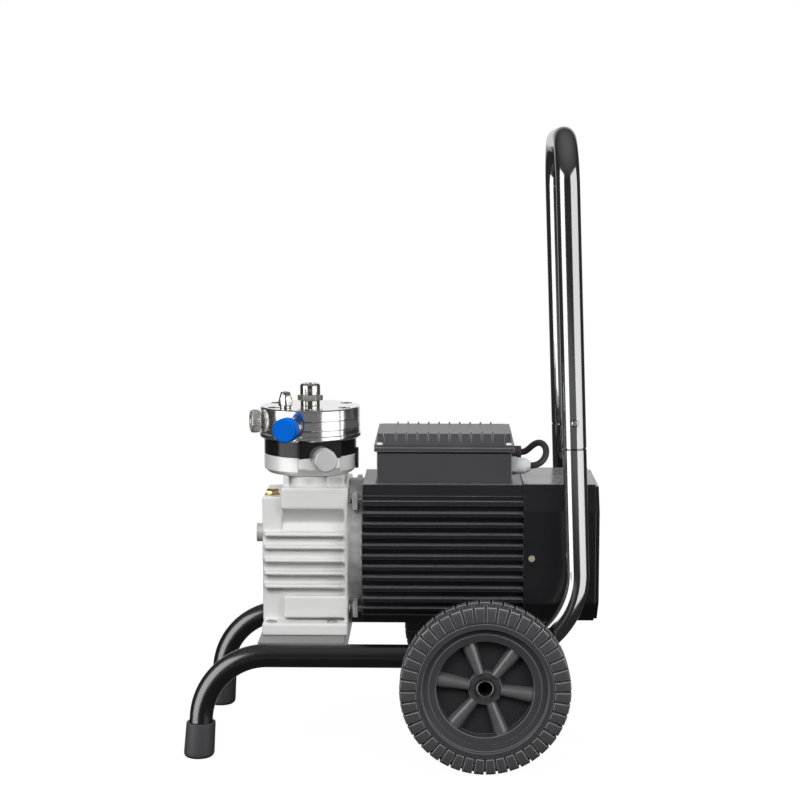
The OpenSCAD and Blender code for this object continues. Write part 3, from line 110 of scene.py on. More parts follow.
floor_mesh = bpy.data.meshes.new("floor")
floor_rim = [2.0 * math.pi * i / floor_sides for i in range(floor_sides)]
floor_mesh.from_pydata([(floor_radius * math.cos(a), floor_radius * math.sin(a), 0.0) for a in floor_rim],
                       [], [tuple(range(floor_sides))])
floor = placed("floor", floor_mesh)
floor_paint = bpy.data.materials.new("floor_paint")
floor_paint.use_nodes = True
tree = floor_paint.node_tree
diffuse = tree.nodes["Principled BSDF"]
diffuse.inputs["Base Color"].default_value = (floor_tone, floor_tone, floor_tone, 1.0)
diffuse.inputs["Roughness"].default_value = 0.8
diffuse.inputs["Specular IOR Level"].default_value = 0.1
glow = tree.nodes.new("ShaderNodeEmission")
sum_of_both = tree.nodes.new("ShaderNodeAddShader")
path = tree.nodes.new("ShaderNodeLightPath")
link(tree, worked(tree, "MULTIPLY", path.outputs["Is Camera Ray"], floor_glow), glow.inputs["Strength"])
link(tree, diffuse.outputs[0], sum_of_both.inputs[0])
link(tree, glow.outputs[0], sum_of_both.inputs[1])
link(tree, sum_of_both.outputs[0], tree.nodes["Material Output"].inputs["Surface"])
floor_mesh.materials.append(floor_paint)
floor.visible_glossy = False

# The room: white to the camera, soft grey to diffuse rays. Gloss sees it dim, with a pale back wall,
# a grey strip low on the wall behind the camera and a ceiling that pales upwards. Each edge gives the
# share of a direction's Y or Z where a tone starts and where it is full.
room_tone = 0.15
dim_tone = 0.045
back_wall_tone = 0.95
strip_tone = 0.24
strip_height = -0.13
ceiling_tone = 0.22
back_wall_edge = (0.82, 0.985)
front_edge = (-0.1, -0.6)
strip_edge = (0.075, 0.025)
ceiling_edge = (0.15, 1.0)
world = bpy.data.worlds.new("room")
scene.world = world
world.use_nodes = True
tree = world.node_tree
tree.nodes.clear()
direction = tree.nodes.new("ShaderNodeTexCoord")
way = tree.nodes.new("ShaderNodeSeparateXYZ")
link(tree, direction.outputs["Generated"], way.inputs[0])
back_wall = ramp(tree, way.outputs["Y"], *back_wall_edge, dim_tone, back_wall_tone)
in_front = ramp(tree, way.outputs["Y"], *front_edge, 0.0, 1.0)
off_strip = worked(tree, "ABSOLUTE", worked(tree, "SUBTRACT", way.outputs["Z"], strip_height))
strip = ramp(tree, off_strip, *strip_edge, 0.0, strip_tone)
ceiling = ramp(tree, way.outputs["Z"], *ceiling_edge, 0.0, ceiling_tone)
walls = worked(tree, "MAXIMUM", back_wall, worked(tree, "MULTIPLY", in_front, strip))
path = tree.nodes.new("ShaderNodeLightPath")
to_camera = tree.nodes.new("ShaderNodeBackground")
to_gloss = tree.nodes.new("ShaderNodeBackground")
to_dull = tree.nodes.new("ShaderNodeBackground")
to_camera.inputs["Color"].default_value = (1.0, 1.0, 1.0, 1.0)
to_dull.inputs["Color"].default_value = (room_tone, room_tone, room_tone, 1.0)
link(tree, worked(tree, "MAXIMUM", walls, ceiling), to_gloss.inputs["Color"])
not_camera = tree.nodes.new("ShaderNodeMixShader")
either = tree.nodes.new("ShaderNodeMixShader")
room = tree.nodes.new("ShaderNodeOutputWorld")
is_gloss = worked(tree, "MAXIMUM", path.outputs["Is Glossy Ray"], path.outputs["Is Transmission Ray"])
link(tree, is_gloss, not_camera.inputs["Fac"])
link(tree, to_dull.outputs[0], not_camera.inputs[1])
link(tree, to_gloss.outputs[0], not_camera.inputs[2])
link(tree, path.outputs["Is Camera Ray"], either.inputs["Fac"])
link(tree, not_camera.outputs[0], either.inputs[1])
link(tree, to_camera.outputs[0], either.inputs[2])
link(tree, either.outputs[0], room.inputs["Surface"])

middle = Vector((0.0, 0.0, 0.35))


def soft_box(name, place, width, height, radiance, in_gloss):
    """An area lamp that faces the machine, seen either in gloss or on dull surfaces. Its power follows
    from its size and brightness."""
    lamp = bpy.data.lights.new(name, "AREA")
    lamp.shape = "RECTANGLE"
    lamp.size = width
    lamp.size_y = height
    lamp.energy = radiance * math.pi * width * height
    holder = placed(name, lamp)
    holder.location = place
    holder.visible_camera = False
    holder.visible_glossy = in_gloss
    holder.visible_diffuse = not in_gloss
    holder.rotation_euler = (middle - Vector(place)).to_track_quat("-Z", "Y").to_euler()


soft_box("left_box", (-1.18, -0.76, 0.47), 1.2, 1.7, 2.6, True)
soft_box("right_box", (1.2, -0.80, 0.47), 1.6, 1.7, 1.7, True)
soft_box("key_box", (-0.9, -2.2, 1.9), 1.6, 1.2, 10.0, False)
soft_box("fill_box", (1.3, -2.0, 1.6), 1.4, 1.2, 6.0, False)
soft_box("top_box", (0.0, -0.5, 2.4), 2.4, 1.6, 1.0, False)
soft_box("far_left_box", (-1.3, 2.0, 1.6), 1.4, 1.2, 5.0, False)
soft_box("far_right_box", (1.4, 1.7, 1.5), 1.4, 1.2, 5.0, False)

# ----------------------------------------------------------------------
# Short lead. A black rubber cable that leaves the rear gland, turns over and goes back into the
# socket above it. It is held at both ends, so its whole length shows.
# ----------------------------------------------------------------------
slow_share = 0.35
fine_mean = 0.5
# How far up a face must look to take the pale grey of dust and painted reflection.
dust_and_sheen_slope = (0.85, 0.98)
grain_span = (0.3, 0.7)


def grain_group():
    """Shader group: a slow and a fine mask, their sum as a height, and a mask of what looks up."""
    group = bpy.data.node_groups.new("grain", "ShaderNodeTree")
    for name in ("Fineness", "Blotches"):
        group.interface.new_socket(name, in_out="INPUT", socket_type="NodeSocketFloat")
    for name in ("Slow", "Fine", "Height", "Up"):
        group.interface.new_socket(name, in_out="OUTPUT", socket_type="NodeSocketFloat")
    give = group.nodes.new("NodeGroupInput")
    take = group.nodes.new("NodeGroupOutput")
    coord = group.nodes.new("ShaderNodeTexCoord")
    slow = group.nodes.new("ShaderNodeTexNoise")
    fine = group.nodes.new("ShaderNodeTexNoise")
    fine.inputs["Detail"].default_value = 3.0
    for noise, size in ((slow, "Blotches"), (fine, "Fineness")):
        link(group, coord.outputs["Object"], noise.inputs["Vector"])
        link(group, give.outputs[size], noise.inputs["Scale"])
    link(group, slow.outputs["Fac"], take.inputs["Slow"])
    link(group, fine.outputs["Fac"], take.inputs["Fine"])
    both = worked(group, "MULTIPLY_ADD", slow.outputs["Fac"], slow_share, fine.outputs["Fac"])
    link(group, both, take.inputs["Height"])
    surface = group.nodes.new("ShaderNodeNewGeometry")
    normal = group.nodes.new("ShaderNodeSeparateXYZ")
    link(group, surface.outputs["Normal"], normal.inputs[0])
    link(group, ramp(group, normal.outputs["Z"], *dust_and_sheen_slope, 0.0, 1.0), take.inputs["Up"])
    return group


grain = grain_group()
# The pale grey for faces that look up: dust, and a painted reflection of the pale room.
dust_and_sheen_colour = (0.26, 0.26, 0.27)


def blend_of(tree, share, first, second):
    """A Mix node between two colours, each a socket or a plain colour."""
    node = tree.nodes.new("ShaderNodeMix")
    node.data_type = "RGBA"
    link(tree, share, node.inputs["Factor"])
    for socket, colour in zip([socket for socket in node.inputs if socket.type == "RGBA"], (first, second)):
        if isinstance(colour, tuple):
            socket.default_value = colour
        else:
            link(tree, colour, socket)
    return [socket for socket in node.outputs if socket.type == "RGBA"][0]


def finish(name, colour, rough, metal=0.0, fineness=500.0, blotches=25.0, tone=0.15, spread=0.10,
           relief=0.00002, level=0.5, ior=1.5, dust_and_sheen=0.0):
    """A surface finish: its colour varies slowly and its gloss finely, and the grain lifts the surface by
    relief metres. The last argument is the share of a pale grey on the faces that look up: partly dust,
    partly a painted reflection of the pale room."""
    material = bpy.data.materials.new(name)
    material.use_nodes = True
    material.diffuse_color = (*colour, 1.0)
    tree = material.node_tree
    shader = tree.nodes["Principled BSDF"]
    shader.inputs["Metallic"].default_value = metal
    shader.inputs["Specular IOR Level"].default_value = level
    shader.inputs["IOR"].default_value = ior
    node = tree.nodes.new("ShaderNodeGroup")
    node.node_tree = grain
    node.inputs["Fineness"].default_value = fineness
    node.inputs["Blotches"].default_value = blotches
    dark = (*[c * (1.0 - tone) for c in colour], 1.0)
    pale = (*[min(1.0, c * (1.0 + tone)) for c in colour], 1.0)
    mixed = blend_of(tree, node.outputs["Slow"], dark, pale)
    # Faces that look up are mixed towards a pale grey: dust, and a painted reflection of the pale room on
    # the tops.
    if dust_and_sheen:
        patches = worked(tree, "MULTIPLY", node.outputs["Up"], node.outputs["Fine"])
        share = worked(tree, "MULTIPLY", patches, dust_and_sheen / fine_mean)
        mixed = blend_of(tree, share, mixed, (*dust_and_sheen_colour, 1.0))
    link(tree, mixed, shader.inputs["Base Color"])
    least, most = max(0.02, rough - spread), min(1.0, rough + spread)
    link(tree, ramp(tree, node.outputs["Fine"], *grain_span, least, most), shader.inputs["Roughness"])
    bump = tree.nodes.new("ShaderNodeBump")
    bump.inputs["Distance"].default_value = relief
    link(tree, node.outputs["Height"], bump.inputs["Height"])
    link(tree, bump.outputs["Normal"], shader.inputs["Normal"])
    return material


def piece(name, mesh, body, slot, materials, *nodes):
    """A finished piece: it rides on its body, has its materials and stands for its CAD nodes."""
    made = placed(name, mesh)
    numbers = [face.material_index for face in mesh.polygons]
    mesh.materials.clear()
    for material in materials:
        mesh.materials.append(material)
    mesh.polygons.foreach_set("material_index", numbers)
    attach(made, body)
    if nodes:
        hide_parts(*nodes)
    return made


# The lead's points are in millimetres from the middle of the box's rear wall, at the gland's height.
lead_d = 0.008
box_rear = Vector((0.14485, 0.0, 0.33955))
lead_route = [(5, -20, 0), (15, -20, 0), (25, -20, 0), (32, -19.5, 1), (38, -18, 4.5), (42.5, -14, 10),
              (44, -9, 16.5), (42.5, -3, 22), (38.5, 3, 25), (33.5, 9, 24.5), (28, 14, 20.5), (23, 18, 15),
              (18.5, 20, 11.5), (13, 20, 11), (7, 20, 11)]
lead_points = [box_rear + Vector(p) / 1000.0 for p in lead_route]
lead_curve = bpy.data.curves.new("lead", "CURVE")
lead_curve.dimensions = "3D"
lead_curve.bevel_depth = lead_d / 2.0
lead_curve.bevel_resolution = 6
lead_curve.resolution_u = 8
lead_curve.use_fill_caps = True
spline = lead_curve.splines.new("NURBS")
spline.points.add(len(lead_points) - 1)
for point, place in zip(spline.points, lead_points):
    point.co = (*place, 1.0)
spline.use_endpoint_u = True
spline.order_u = 3
lead_rubber = finish("lead_rubber", (0.028, 0.028, 0.031), 0.42, fineness=900.0, tone=0.2,
                     relief=0.00004)
lead_curve.materials.append(lead_rubber)
lead = placed("lead", lead_curve)
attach(lead, "chassis")
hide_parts("control_lead")

# ----------------------------------------------------------------------
# Frame tubes. Two legs with their bends, rails and uprights, and the lift-off handle hoop, of 28 mm
# steel tube. The paint is gloss black, and duller from the feet to the axle. Every end at the joint
# has a small edge break, and the handle has a hole in each side for its snap button.
# ----------------------------------------------------------------------
tube_r = 0.014
rail_y = 0.117
leg_foot_x = -0.23075
leg_splay = math.radians(4)
leg_low = 0.006
front_bend = (-0.147474, 0.04405, 0.080)
rear_bend = (0.12125, 0.22405, 0.100)
lean = math.radians(2)
joint_up = 0.14755
bar_up = 0.5098
corner_r = 0.060
edge_break = 0.0012
button_up = 0.17855
button_hole_r = 0.0046
button_hole_l = 0.006
upright_foot = Vector((rear_bend[0] + rear_bend[2] * math.cos(lean), 0.0,
                       rear_bend[1] + rear_bend[2] * math.sin(lean)))
upright_way = Vector((-math.sin(lean), 0.0, math.cos(lean)))


def arc(middle_x, middle_z, radius, start, end, steps=40):
    """Points (x, z) along an arc from angle start to end, in degrees."""
    turn = [math.radians(start + (end - start) * i / steps) for i in range(steps + 1)]
    return [(middle_x + radius * math.cos(a), middle_z + radius * math.sin(a)) for a in turn]


def on_upright(up, y):
    """A place on an upright's middle line, counted up from its foot."""
    return upright_foot + upright_way * up + Vector((0.0, y, 0.0))


def shape_tree(name, made, **inputs):
    """An empty Geometry Nodes tree with its named inputs and one geometry output, and its two end nodes."""
    tree = bpy.data.node_groups.new(name, "GeometryNodeTree")
    for label, kind in inputs.items():
        tree.interface.new_socket(label, in_out="INPUT", socket_type="NodeSocket" + kind)
    tree.interface.new_socket(made, in_out="OUTPUT", socket_type="NodeSocketGeometry")
    return tree, tree.nodes.new("NodeGroupInput"), tree.nodes.new("NodeGroupOutput")


def close_tree(tree, shape, give, take):
    """The end of a tree: the shape is made real, gets its material and goes out."""
    real = tree.nodes.new("GeometryNodeRealizeInstances")
    paint = tree.nodes.new("GeometryNodeSetMaterial")
    link(tree, shape, real.inputs["Geometry"])
    link(tree, real.outputs["Geometry"], paint.inputs["Geometry"])
    link(tree, give.outputs["Paint"], paint.inputs["Material"])
    link(tree, paint.outputs["Geometry"], take.inputs[0])


def tube_tree():
    """Geometry Nodes: a chain of points becomes a closed round tube, narrowed by its 'narrow' attribute."""
    tree, give, take = shape_tree("swept_tube", "Tube", Path="Geometry", Radius="Float", Sides="Int",
                                  Paint="Material")
    chain = tree.nodes.new("GeometryNodeMeshToCurve")
    ring = tree.nodes.new("GeometryNodeCurvePrimitiveCircle")
    sweep = tree.nodes.new("GeometryNodeCurveToMesh")
    sweep.inputs["Fill Caps"].default_value = True
    narrow = tree.nodes.new("GeometryNodeInputNamedAttribute")
    narrow.data_type = "FLOAT"
    narrow.inputs["Name"].default_value = "narrow"
    link(tree, give.outputs["Path"], chain.inputs["Mesh"])
    link(tree, give.outputs["Radius"], ring.inputs["Radius"])
    link(tree, give.outputs["Sides"], ring.inputs["Resolution"])
    link(tree, chain.outputs["Curve"], sweep.inputs["Curve"])
    link(tree, ring.outputs["Curve"], sweep.inputs["Profile Curve"])
    link(tree, narrow.outputs["Attribute"], sweep.inputs["Scale"])
    close_tree(tree, sweep.outputs["Mesh"], give, take)
    return tree


def baked(carrier):
    """The mesh that an object's modifiers give; the object itself is removed."""
    bpy.context.view_layer.update()
    seen = carrier.evaluated_get(bpy.context.evaluated_depsgraph_get())
    mesh = bpy.data.meshes.new_from_object(seen)
    bpy.data.objects.remove(carrier)
    return mesh


def repaint(mesh, number, where=lambda face: True):
    """Gives the faces that pass a test, or all of them, another of the piece's materials."""
    for face in mesh.polygons:
        if where(face):
            face.material_index = number


def grown(source, tree, values):
    """Runs a Geometry Nodes tree on a mesh with the named inputs and returns the result as a plain mesh."""
    carrier = placed("carrier", source)
    modifier = carrier.modifiers.new("grow", "NODES")
    modifier.node_group = tree
    for item in tree.interface.items_tree:
        if item.item_type == "SOCKET" and item.in_out == "INPUT" and item.name in values:
            modifier[item.identifier] = values[item.name]
    mesh = baked(carrier)
    mesh.materials.clear()
    repaint(mesh, 0)
    return mesh


def settled(work, mesh):
    """Writes a worked form into the mesh, frees the form and returns the mesh."""
    work.to_mesh(mesh)
    work.free()
    return mesh


def faired(mesh, angle=30):
    """Smooth shading, with edges sharper than the angle kept hard, and faces turned outwards."""
    work = bmesh.new()
    work.from_mesh(mesh)
    bmesh.ops.remove_doubles(work, verts=work.verts, dist=0.000005)
    bmesh.ops.recalc_face_normals(work, faces=work.faces)
    settled(work, mesh)
    mesh.shade_smooth()
    mesh.set_sharp_from_angle(angle=math.radians(angle))
    return mesh


def chain_mesh(points, narrow):
    """Points joined in a chain, each with its share of the full radius."""
    mesh = bpy.data.meshes.new("chain")
    mesh.from_pydata(points, [(i, i + 1) for i in range(len(points) - 1)], [])
    shares = mesh.attributes.new("narrow", "FLOAT", "POINT")
    for i, value in enumerate(narrow):
        shares.data[i].value = value
    return mesh


def with_breaks(points, first, last):
    """Adds the edge break at an end: the end point is narrowed, and a full one follows after the break."""
    shares = [1.0] * len(points)
    points = [Vector(p) for p in points]
    if last:
        back = (points[-2] - points[-1]).normalized() * edge_break
        points.insert(-1, points[-1] + back)
        shares = shares + [1.0 - edge_break / tube_r]
    if first:
        on = (points[1] - points[0]).normalized() * edge_break
        points.insert(1, points[0] + on)
        shares = [1.0 - edge_break / tube_r] + shares
    return points, shares


tube_sweep = tube_tree()
tube_sides = 64
drill_sides = 40
frame_paint = finish("frame_paint", (0.004, 0.004, 0.005), 0.10, fineness=300.0, blotches=40.0,
                     tone=0.25, spread=0.008, relief=0.0000005, level=1.0, ior=2.6)
leg_paint = finish("leg_paint", (0.003, 0.003, 0.004), 0.24, fineness=300.0, blotches=40.0, tone=0.25,
                   spread=0.004, relief=0.0000003, ior=2.2)
dull_until = 0.11125
leg_way = Vector((math.sin(leg_splay), 0.0, math.cos(leg_splay)))


def tube_along(run, first, last):
    """A frame tube along its middle points, with an edge break at the first end, the last or both."""
    points, shares = with_breaks(run, first, last)
    return faired(grown(chain_mesh(points, shares), tube_sweep,
                        {"Radius": tube_r, "Sides": tube_sides, "Paint": frame_paint}))


for side, name in ((-1, "left"), (1, "right")):
    flat = [(leg_foot_x + leg_way.x * leg_low, leg_way.z * leg_low)]
    flat += arc(*front_bend, 180 - math.degrees(leg_splay), 90)
    flat += arc(*rear_bend, -90, math.degrees(lean))
    run = [Vector((x, side * rail_y, z)) for x, z in flat]
    run.append(on_upright(joint_up, side * rail_y))
    tube = tube_along(run, False, True)
    repaint(tube, 1, lambda face: face.center.x < dull_until)
    piece("rail_tube_" + name, tube, "chassis", "frame_black", [frame_paint, leg_paint], "rail_" + name)

hoop = [on_upright(joint_up, -rail_y)]
hoop += [on_upright(z, y) for y, z in arc(corner_r - rail_y, bar_up - corner_r, corner_r, 180, 90)]
hoop += [on_upright(z, y) for y, z in arc(rail_y - corner_r, bar_up - corner_r, corner_r, 90, 0)]
hoop.append(on_upright(joint_up, rail_y))


def drill_mesh(radius, length, ways):
    """Cylinders for drilling; each way is (middle, direction)."""
    work = bmesh.new()
    for place, way in ways:
        turn = Vector(way).to_track_quat("Z", "Y").to_matrix().to_4x4()
        bmesh.ops.create_cone(work, cap_ends=True, segments=drill_sides, radius1=radius, radius2=radius,
                              depth=length, matrix=Matrix.Translation(place) @ turn)
    return settled(work, bpy.data.meshes.new("drill"))


def drilled(mesh, drill):
    """The first mesh with the second cut out of it."""
    block = placed("block", mesh)
    cutter = placed("cutter", drill)
    cut = block.modifiers.new("cut", "BOOLEAN")
    cut.object = cutter
    cut.operation = "DIFFERENCE"
    cut.solver = "EXACT"
    made = baked(block)
    bpy.data.objects.remove(cutter)
    return made


button_ways = [(on_upright(button_up, side * (rail_y + tube_r)), (0.0, side, 0.0)) for side in (-1, 1)]
holes = drill_mesh(button_hole_r, button_hole_l, button_ways)
tube = drilled(tube_along(hoop, True, True), holes)
piece("handle_hoop", faired(tube), "chassis", "frame_black", [frame_paint], "handle")

# ----------------------------------------------------------------------
# Snap buttons. A domed chrome pin in each side of the joint, in a hole that leaves a dark ring round
# it. A leaf spring inside the tube pushes it out.
# ----------------------------------------------------------------------


def cad_copy(node):
    """A node's mesh as a clean shell: joined up, with flat triangles dissolved into larger faces."""
    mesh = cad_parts[node].data.copy()
    mesh.materials.clear()
    work = bmesh.new()
    work.from_mesh(mesh)
    bmesh.ops.remove_doubles(work, verts=work.verts, dist=0.000004)
    bmesh.ops.dissolve_limit(work, angle_limit=math.radians(0.6), verts=work.verts, edges=work.edges)
    return settled(work, mesh)


def edged(mesh, width, angle=33, steps=2, edge_finish=-1):
    """Rounds a mesh's hard edges; flat faces keep flat shading. The edges may take their own finish."""
    mesh.shade_smooth()
    mesh.set_sharp_from_angle(angle=math.radians(angle))
    block = placed("block", mesh)
    for _ in range(edge_finish + 1 - len(mesh.materials)):
        mesh.materials.append(None)
    bevel = block.modifiers.new("edge", "BEVEL")
    bevel.width = width
    bevel.segments = steps
    bevel.limit_method = "ANGLE"
    bevel.angle_limit = math.radians(angle)
    bevel.use_clamp_overlap = False
    bevel.material = edge_finish
    bevel.miter_outer = "MITER_ARC" if steps > 2 else "MITER_SHARP"
    even = block.modifiers.new("even", "WEIGHTED_NORMAL")
    even.keep_sharp = False
    even.weight = 80
    return baked(block)


def dressed(name, node, body, slot, materials, width, **how):
    """A CAD node's own shape with rounded edges, in place of the node."""
    return piece(name, edged(cad_copy(node), width, **how), body, slot, materials, node)


chrome = finish("chrome", (0.74, 0.74, 0.75), 0.10, metal=1.0, tone=0.05, spread=0.04, relief=0.000004)
for side in ("left", "right"):
    dressed("button_" + side, "snap_button_" + side, side + "_button", "bright_steel", [chrome], 0.0004)

spring_steel = finish("spring_steel", (0.42, 0.42, 0.43), 0.30, metal=1.0)
for side, name in ((-1, "left"), (1, "right")):
    leaf = cad_copy("snap_springs")
    work = bmesh.new()
    work.from_mesh(leaf)
    bmesh.ops.delete(work, geom=[vert for vert in work.verts if vert.co.y * side < 0.0], context="VERTS")
    settled(work, leaf)
    leaf.set_sharp_from_angle(angle=math.radians(30))
    spring = piece("leaf_spring_" + name, leaf, "chassis", "spring_steel", [spring_steel], "snap_springs")
    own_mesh(spring)

# ----------------------------------------------------------------------
# Boots. Moulded rubber feet pushed on the front legs. They widen to the ground, where their edge
# is well rounded, and end above in a thin lip round the tube. They lean with the legs.
# ----------------------------------------------------------------------
MM = 0.001
corner_share = 0.45
axis_near = 0.00001
least_round = 0.00002


def softened(points, radius, steps=3):
    """A closed outline with each corner rounded by up to the radius."""
    made = []
    count = len(points)
    for i in range(count):
        before, here, after = Vector(points[i - 1]), Vector(points[i]), Vector(points[(i + 1) % count])
        reach = min(radius, (before - here).length * corner_share, (after - here).length * corner_share)
        if here.x < axis_near or reach < least_round:
            made.append(here)
            continue
        first = here + (before - here).normalized() * reach
        last = here + (after - here).normalized() * reach
        for k in range(steps + 1):
            t = k / steps
            made.append(first.lerp(here, t).lerp(here.lerp(last, t), t))
    return made


def turned(profile, sides=160):
    """A closed outline (radius, height) spun about the Z axis."""
    work = bmesh.new()
    rings = []
    for i in range(sides):
        angle = 2.0 * math.pi * i / sides
        rings.append([work.verts.new((r * math.cos(angle), r * math.sin(angle), z)) for r, z in profile])
    count = len(profile)
    for i in range(sides):
        here, after = rings[i], rings[(i + 1) % sides]
        for j in range(count):
            k = (j + 1) % count
            if max(profile[j][0], profile[k][0]) > axis_near:
                work.faces.new((here[j], here[k], after[k], after[j]))
    bmesh.ops.remove_doubles(work, verts=work.verts, dist=0.000002)
    bmesh.ops.dissolve_degenerate(work, edges=work.edges, dist=0.000001)
    bmesh.ops.recalc_face_normals(work, faces=work.faces)
    return settled(work, bpy.data.meshes.new("turned"))


def round_part(profile, radius, sides=64, steps=3, angle=40):
    """A lathe part from an outline (radius, height) in millimetres, with its corners rounded."""
    outline = softened([(r * MM, z * MM) for r, z in profile], radius * MM, steps)
    return faired(turned(outline, sides), angle)


def joined(*meshes):
    """Several meshes in one, each keeping its own faces and material numbers."""
    work = bmesh.new()
    for mesh in meshes:
        work.from_mesh(mesh)
    return settled(work, bpy.data.meshes.new("joined"))


boot_profile = [(0, 0), (18.5, 0), (17.5, 43), (14.3, 43), (14.3, 6), (0, 6)]
boot_round = 6.5
rubber = finish("boot_rubber", (0.050, 0.050, 0.055), 0.55, fineness=600.0, tone=0.12, relief=0.00004)
boots = []
for side in (-1, 1):
    boot = round_part(boot_profile, boot_round, sides=72, steps=6, angle=50)
    leaning = Matrix.Identity(4)
    leaning[0][2] = math.tan(leg_splay)
    boot.transform(Matrix.Translation((leg_foot_x, side * rail_y, 0.0)) @ leaning)
    boots.append(boot)
piece("boots", joined(*boots), "chassis", "boot_rubber", [rubber], "foot_boots")

# ----------------------------------------------------------------------
# Axle with its brackets, clips and hub bushes. A zinc plated tube runs under the rails in two
# welded brackets; a steel bush in each hub turns on it and a spring clip keeps the wheel on.
# ----------------------------------------------------------------------
wheel_x, wheel_y, wheel_z = 0.11125, 0.1655, 0.100
axle_bore_r = 0.0090
zinc = finish("zinc", (0.50, 0.50, 0.49), 0.33, metal=1.0, blotches=60.0, tone=0.18, relief=0.00001)
bore_scale = finish("bore_scale", (0.012, 0.012, 0.012), 0.70, tone=0.3, level=0.2)
axle = edged(cad_copy("axle"), 0.0004)
repaint(axle, 1, lambda face: abs(face.normal.y) < 0.5
        and math.hypot(face.center.x - wheel_x, face.center.z - wheel_z) < axle_bore_r)
piece("axle_tube", axle, "chassis", "zinc_steel", [zinc, bore_scale], "axle")
dressed("axle_carriers", "axle_brackets", "chassis", "frame_black", [leg_paint], 0.0008)
spring_black = finish("spring_black", (0.045, 0.045, 0.047), 0.35, metal=0.6, tone=0.2, spread=0.06,
                      relief=0.000005)
dressed("clips", "axle_clips", "chassis", "spring_steel", [spring_black], 0.0003)
for side in ("left", "right"):
    dressed("hub_bush_" + side, "bush_" + side, side + "_wheel", "bright_steel", [chrome], 0.0004)

# ----------------------------------------------------------------------
# Wheels. Moulded plastic: a rim with a stepped dish, spun from its lathe profile, and six tapered
# spokes with round backs. A Geometry Nodes ring repeats the spoke. The rim's rounded edges are painted
# paler and the spokes lighter, as painted highlights, and the web between the spokes darker, as
# painted shade.
# ----------------------------------------------------------------------


def lofted(outlines):
    """A closed solid through rings of as many points each."""
    work = bmesh.new()
    rings = [[work.verts.new(p) for p in ring] for ring in outlines]
    for here, after in zip(rings, rings[1:]):
        for i in range(len(here)):
            k = (i + 1) % len(here)
            work.faces.new((here[i], here[k], after[k], after[i]))
    work.faces.new(rings[0])
    work.faces.new(rings[-1])
    bmesh.ops.recalc_face_normals(work, faces=work.faces)
    return settled(work, bpy.data.meshes.new("lofted"))


def ring_tree():
    """Geometry Nodes: repeats a mesh round the Z axis."""
    tree, give, take = shape_tree("ring_of", "Ring", Piece="Geometry", Count="Int", First="Float",
                                  Paint="Material")
    points = tree.nodes.new("GeometryNodePoints")
    place = tree.nodes.new("GeometryNodeInstanceOnPoints")
    number = tree.nodes.new("GeometryNodeInputIndex")
    step = worked(tree, "DIVIDE", 2.0 * math.pi, give.outputs["Count"])
    turn = worked(tree, "MULTIPLY_ADD", number.outputs[0], step, give.outputs["First"])
    angles = tree.nodes.new("ShaderNodeCombineXYZ")
    link(tree, give.outputs["Count"], points.inputs["Count"])
    link(tree, turn, angles.inputs["Z"])
    link(tree, points.outputs[0], place.inputs["Points"])
    link(tree, give.outputs["Piece"], place.inputs["Instance"])
    link(tree, angles.outputs[0], place.inputs["Rotation"])
    close_tree(tree, place.outputs[0], give, take)
    return tree


ring_of = ring_tree()


def stood(mesh, place, way):
    """The mesh with its Z axis turned to a direction and its origin moved to a place."""
    turn = Vector(way).to_track_quat("Z", "Y").to_matrix().to_4x4()
    mesh.transform(Matrix.Translation(place) @ turn)
    return mesh


web_z, dish_r = -3.2, 57
web_within = 0.0001
rim_profile = [(12.05, 5), (19.8, 5), (19.8, web_z), (dish_r, web_z), (dish_r, 12), (58.5, 12.6),
               (66, 13.6), (66, 13), (73.6, 14.4), (73.6, 21.5), (80, 21.5), (80, 19), (78, 19),
               (78, -19), (80, -19), (80, -21.5), (73.6, -21.5), (73.6, 12.5), (61, 5), (61, -4),
               (19.8, -4), (19.8, -34.2), (12.05, -34.2)]
spoke_inner, spoke_outer = 18.5, 57.6
spoke_hub_w, spoke_rim_w = 11.5, 19.0
spoke_foot, spoke_top = -3.6, 9.0
spoke_first = -9.5
wheel_plastic = finish("wheel_plastic", (0.042, 0.042, 0.045), 0.36, fineness=900.0, blotches=40.0,
                       tone=0.12, spread=0.05, relief=0.000008, level=0.6)
# The rim's rounded edges are painted paler: a painted highlight along them.
rim_edge_highlight = finish("rim_edge_highlight", (0.14, 0.14, 0.15), 0.40, fineness=300.0, tone=0.4, relief=0.000008)
# The web's finish is darker than the rim's plastic: painted shade in the recess between the spokes.
web_painted_shade = finish("web_painted_shade", (0.020, 0.020, 0.022), 0.50, fineness=900.0, tone=0.2,
                     relief=0.000008, level=0.3)
# The spokes' finish is lighter than the rim's plastic of the same moulding: a painted highlight.
spoke_painted_highlight = finish("spoke_painted_highlight", (0.090, 0.090, 0.093), 0.30, fineness=400.0, blotches=60.0,
                       tone=0.20, spread=0.02, relief=0.000001, level=1.0)
spoke_flatness = 0.55
spoke_steps = 14
spoke_count = 6


def spoke_ring(radius, width):
    """A spoke's outline across its length, at a radius: a round back on a flat foot."""
    turns = [math.pi * i / spoke_steps for i in range(spoke_steps + 1)]
    rise = spoke_top - spoke_foot
    across = [(width / 2.0 * math.cos(a), spoke_foot + rise * math.sin(a) ** spoke_flatness) for a in turns]
    return [Vector((radius, y, z)) * MM for y, z in across]


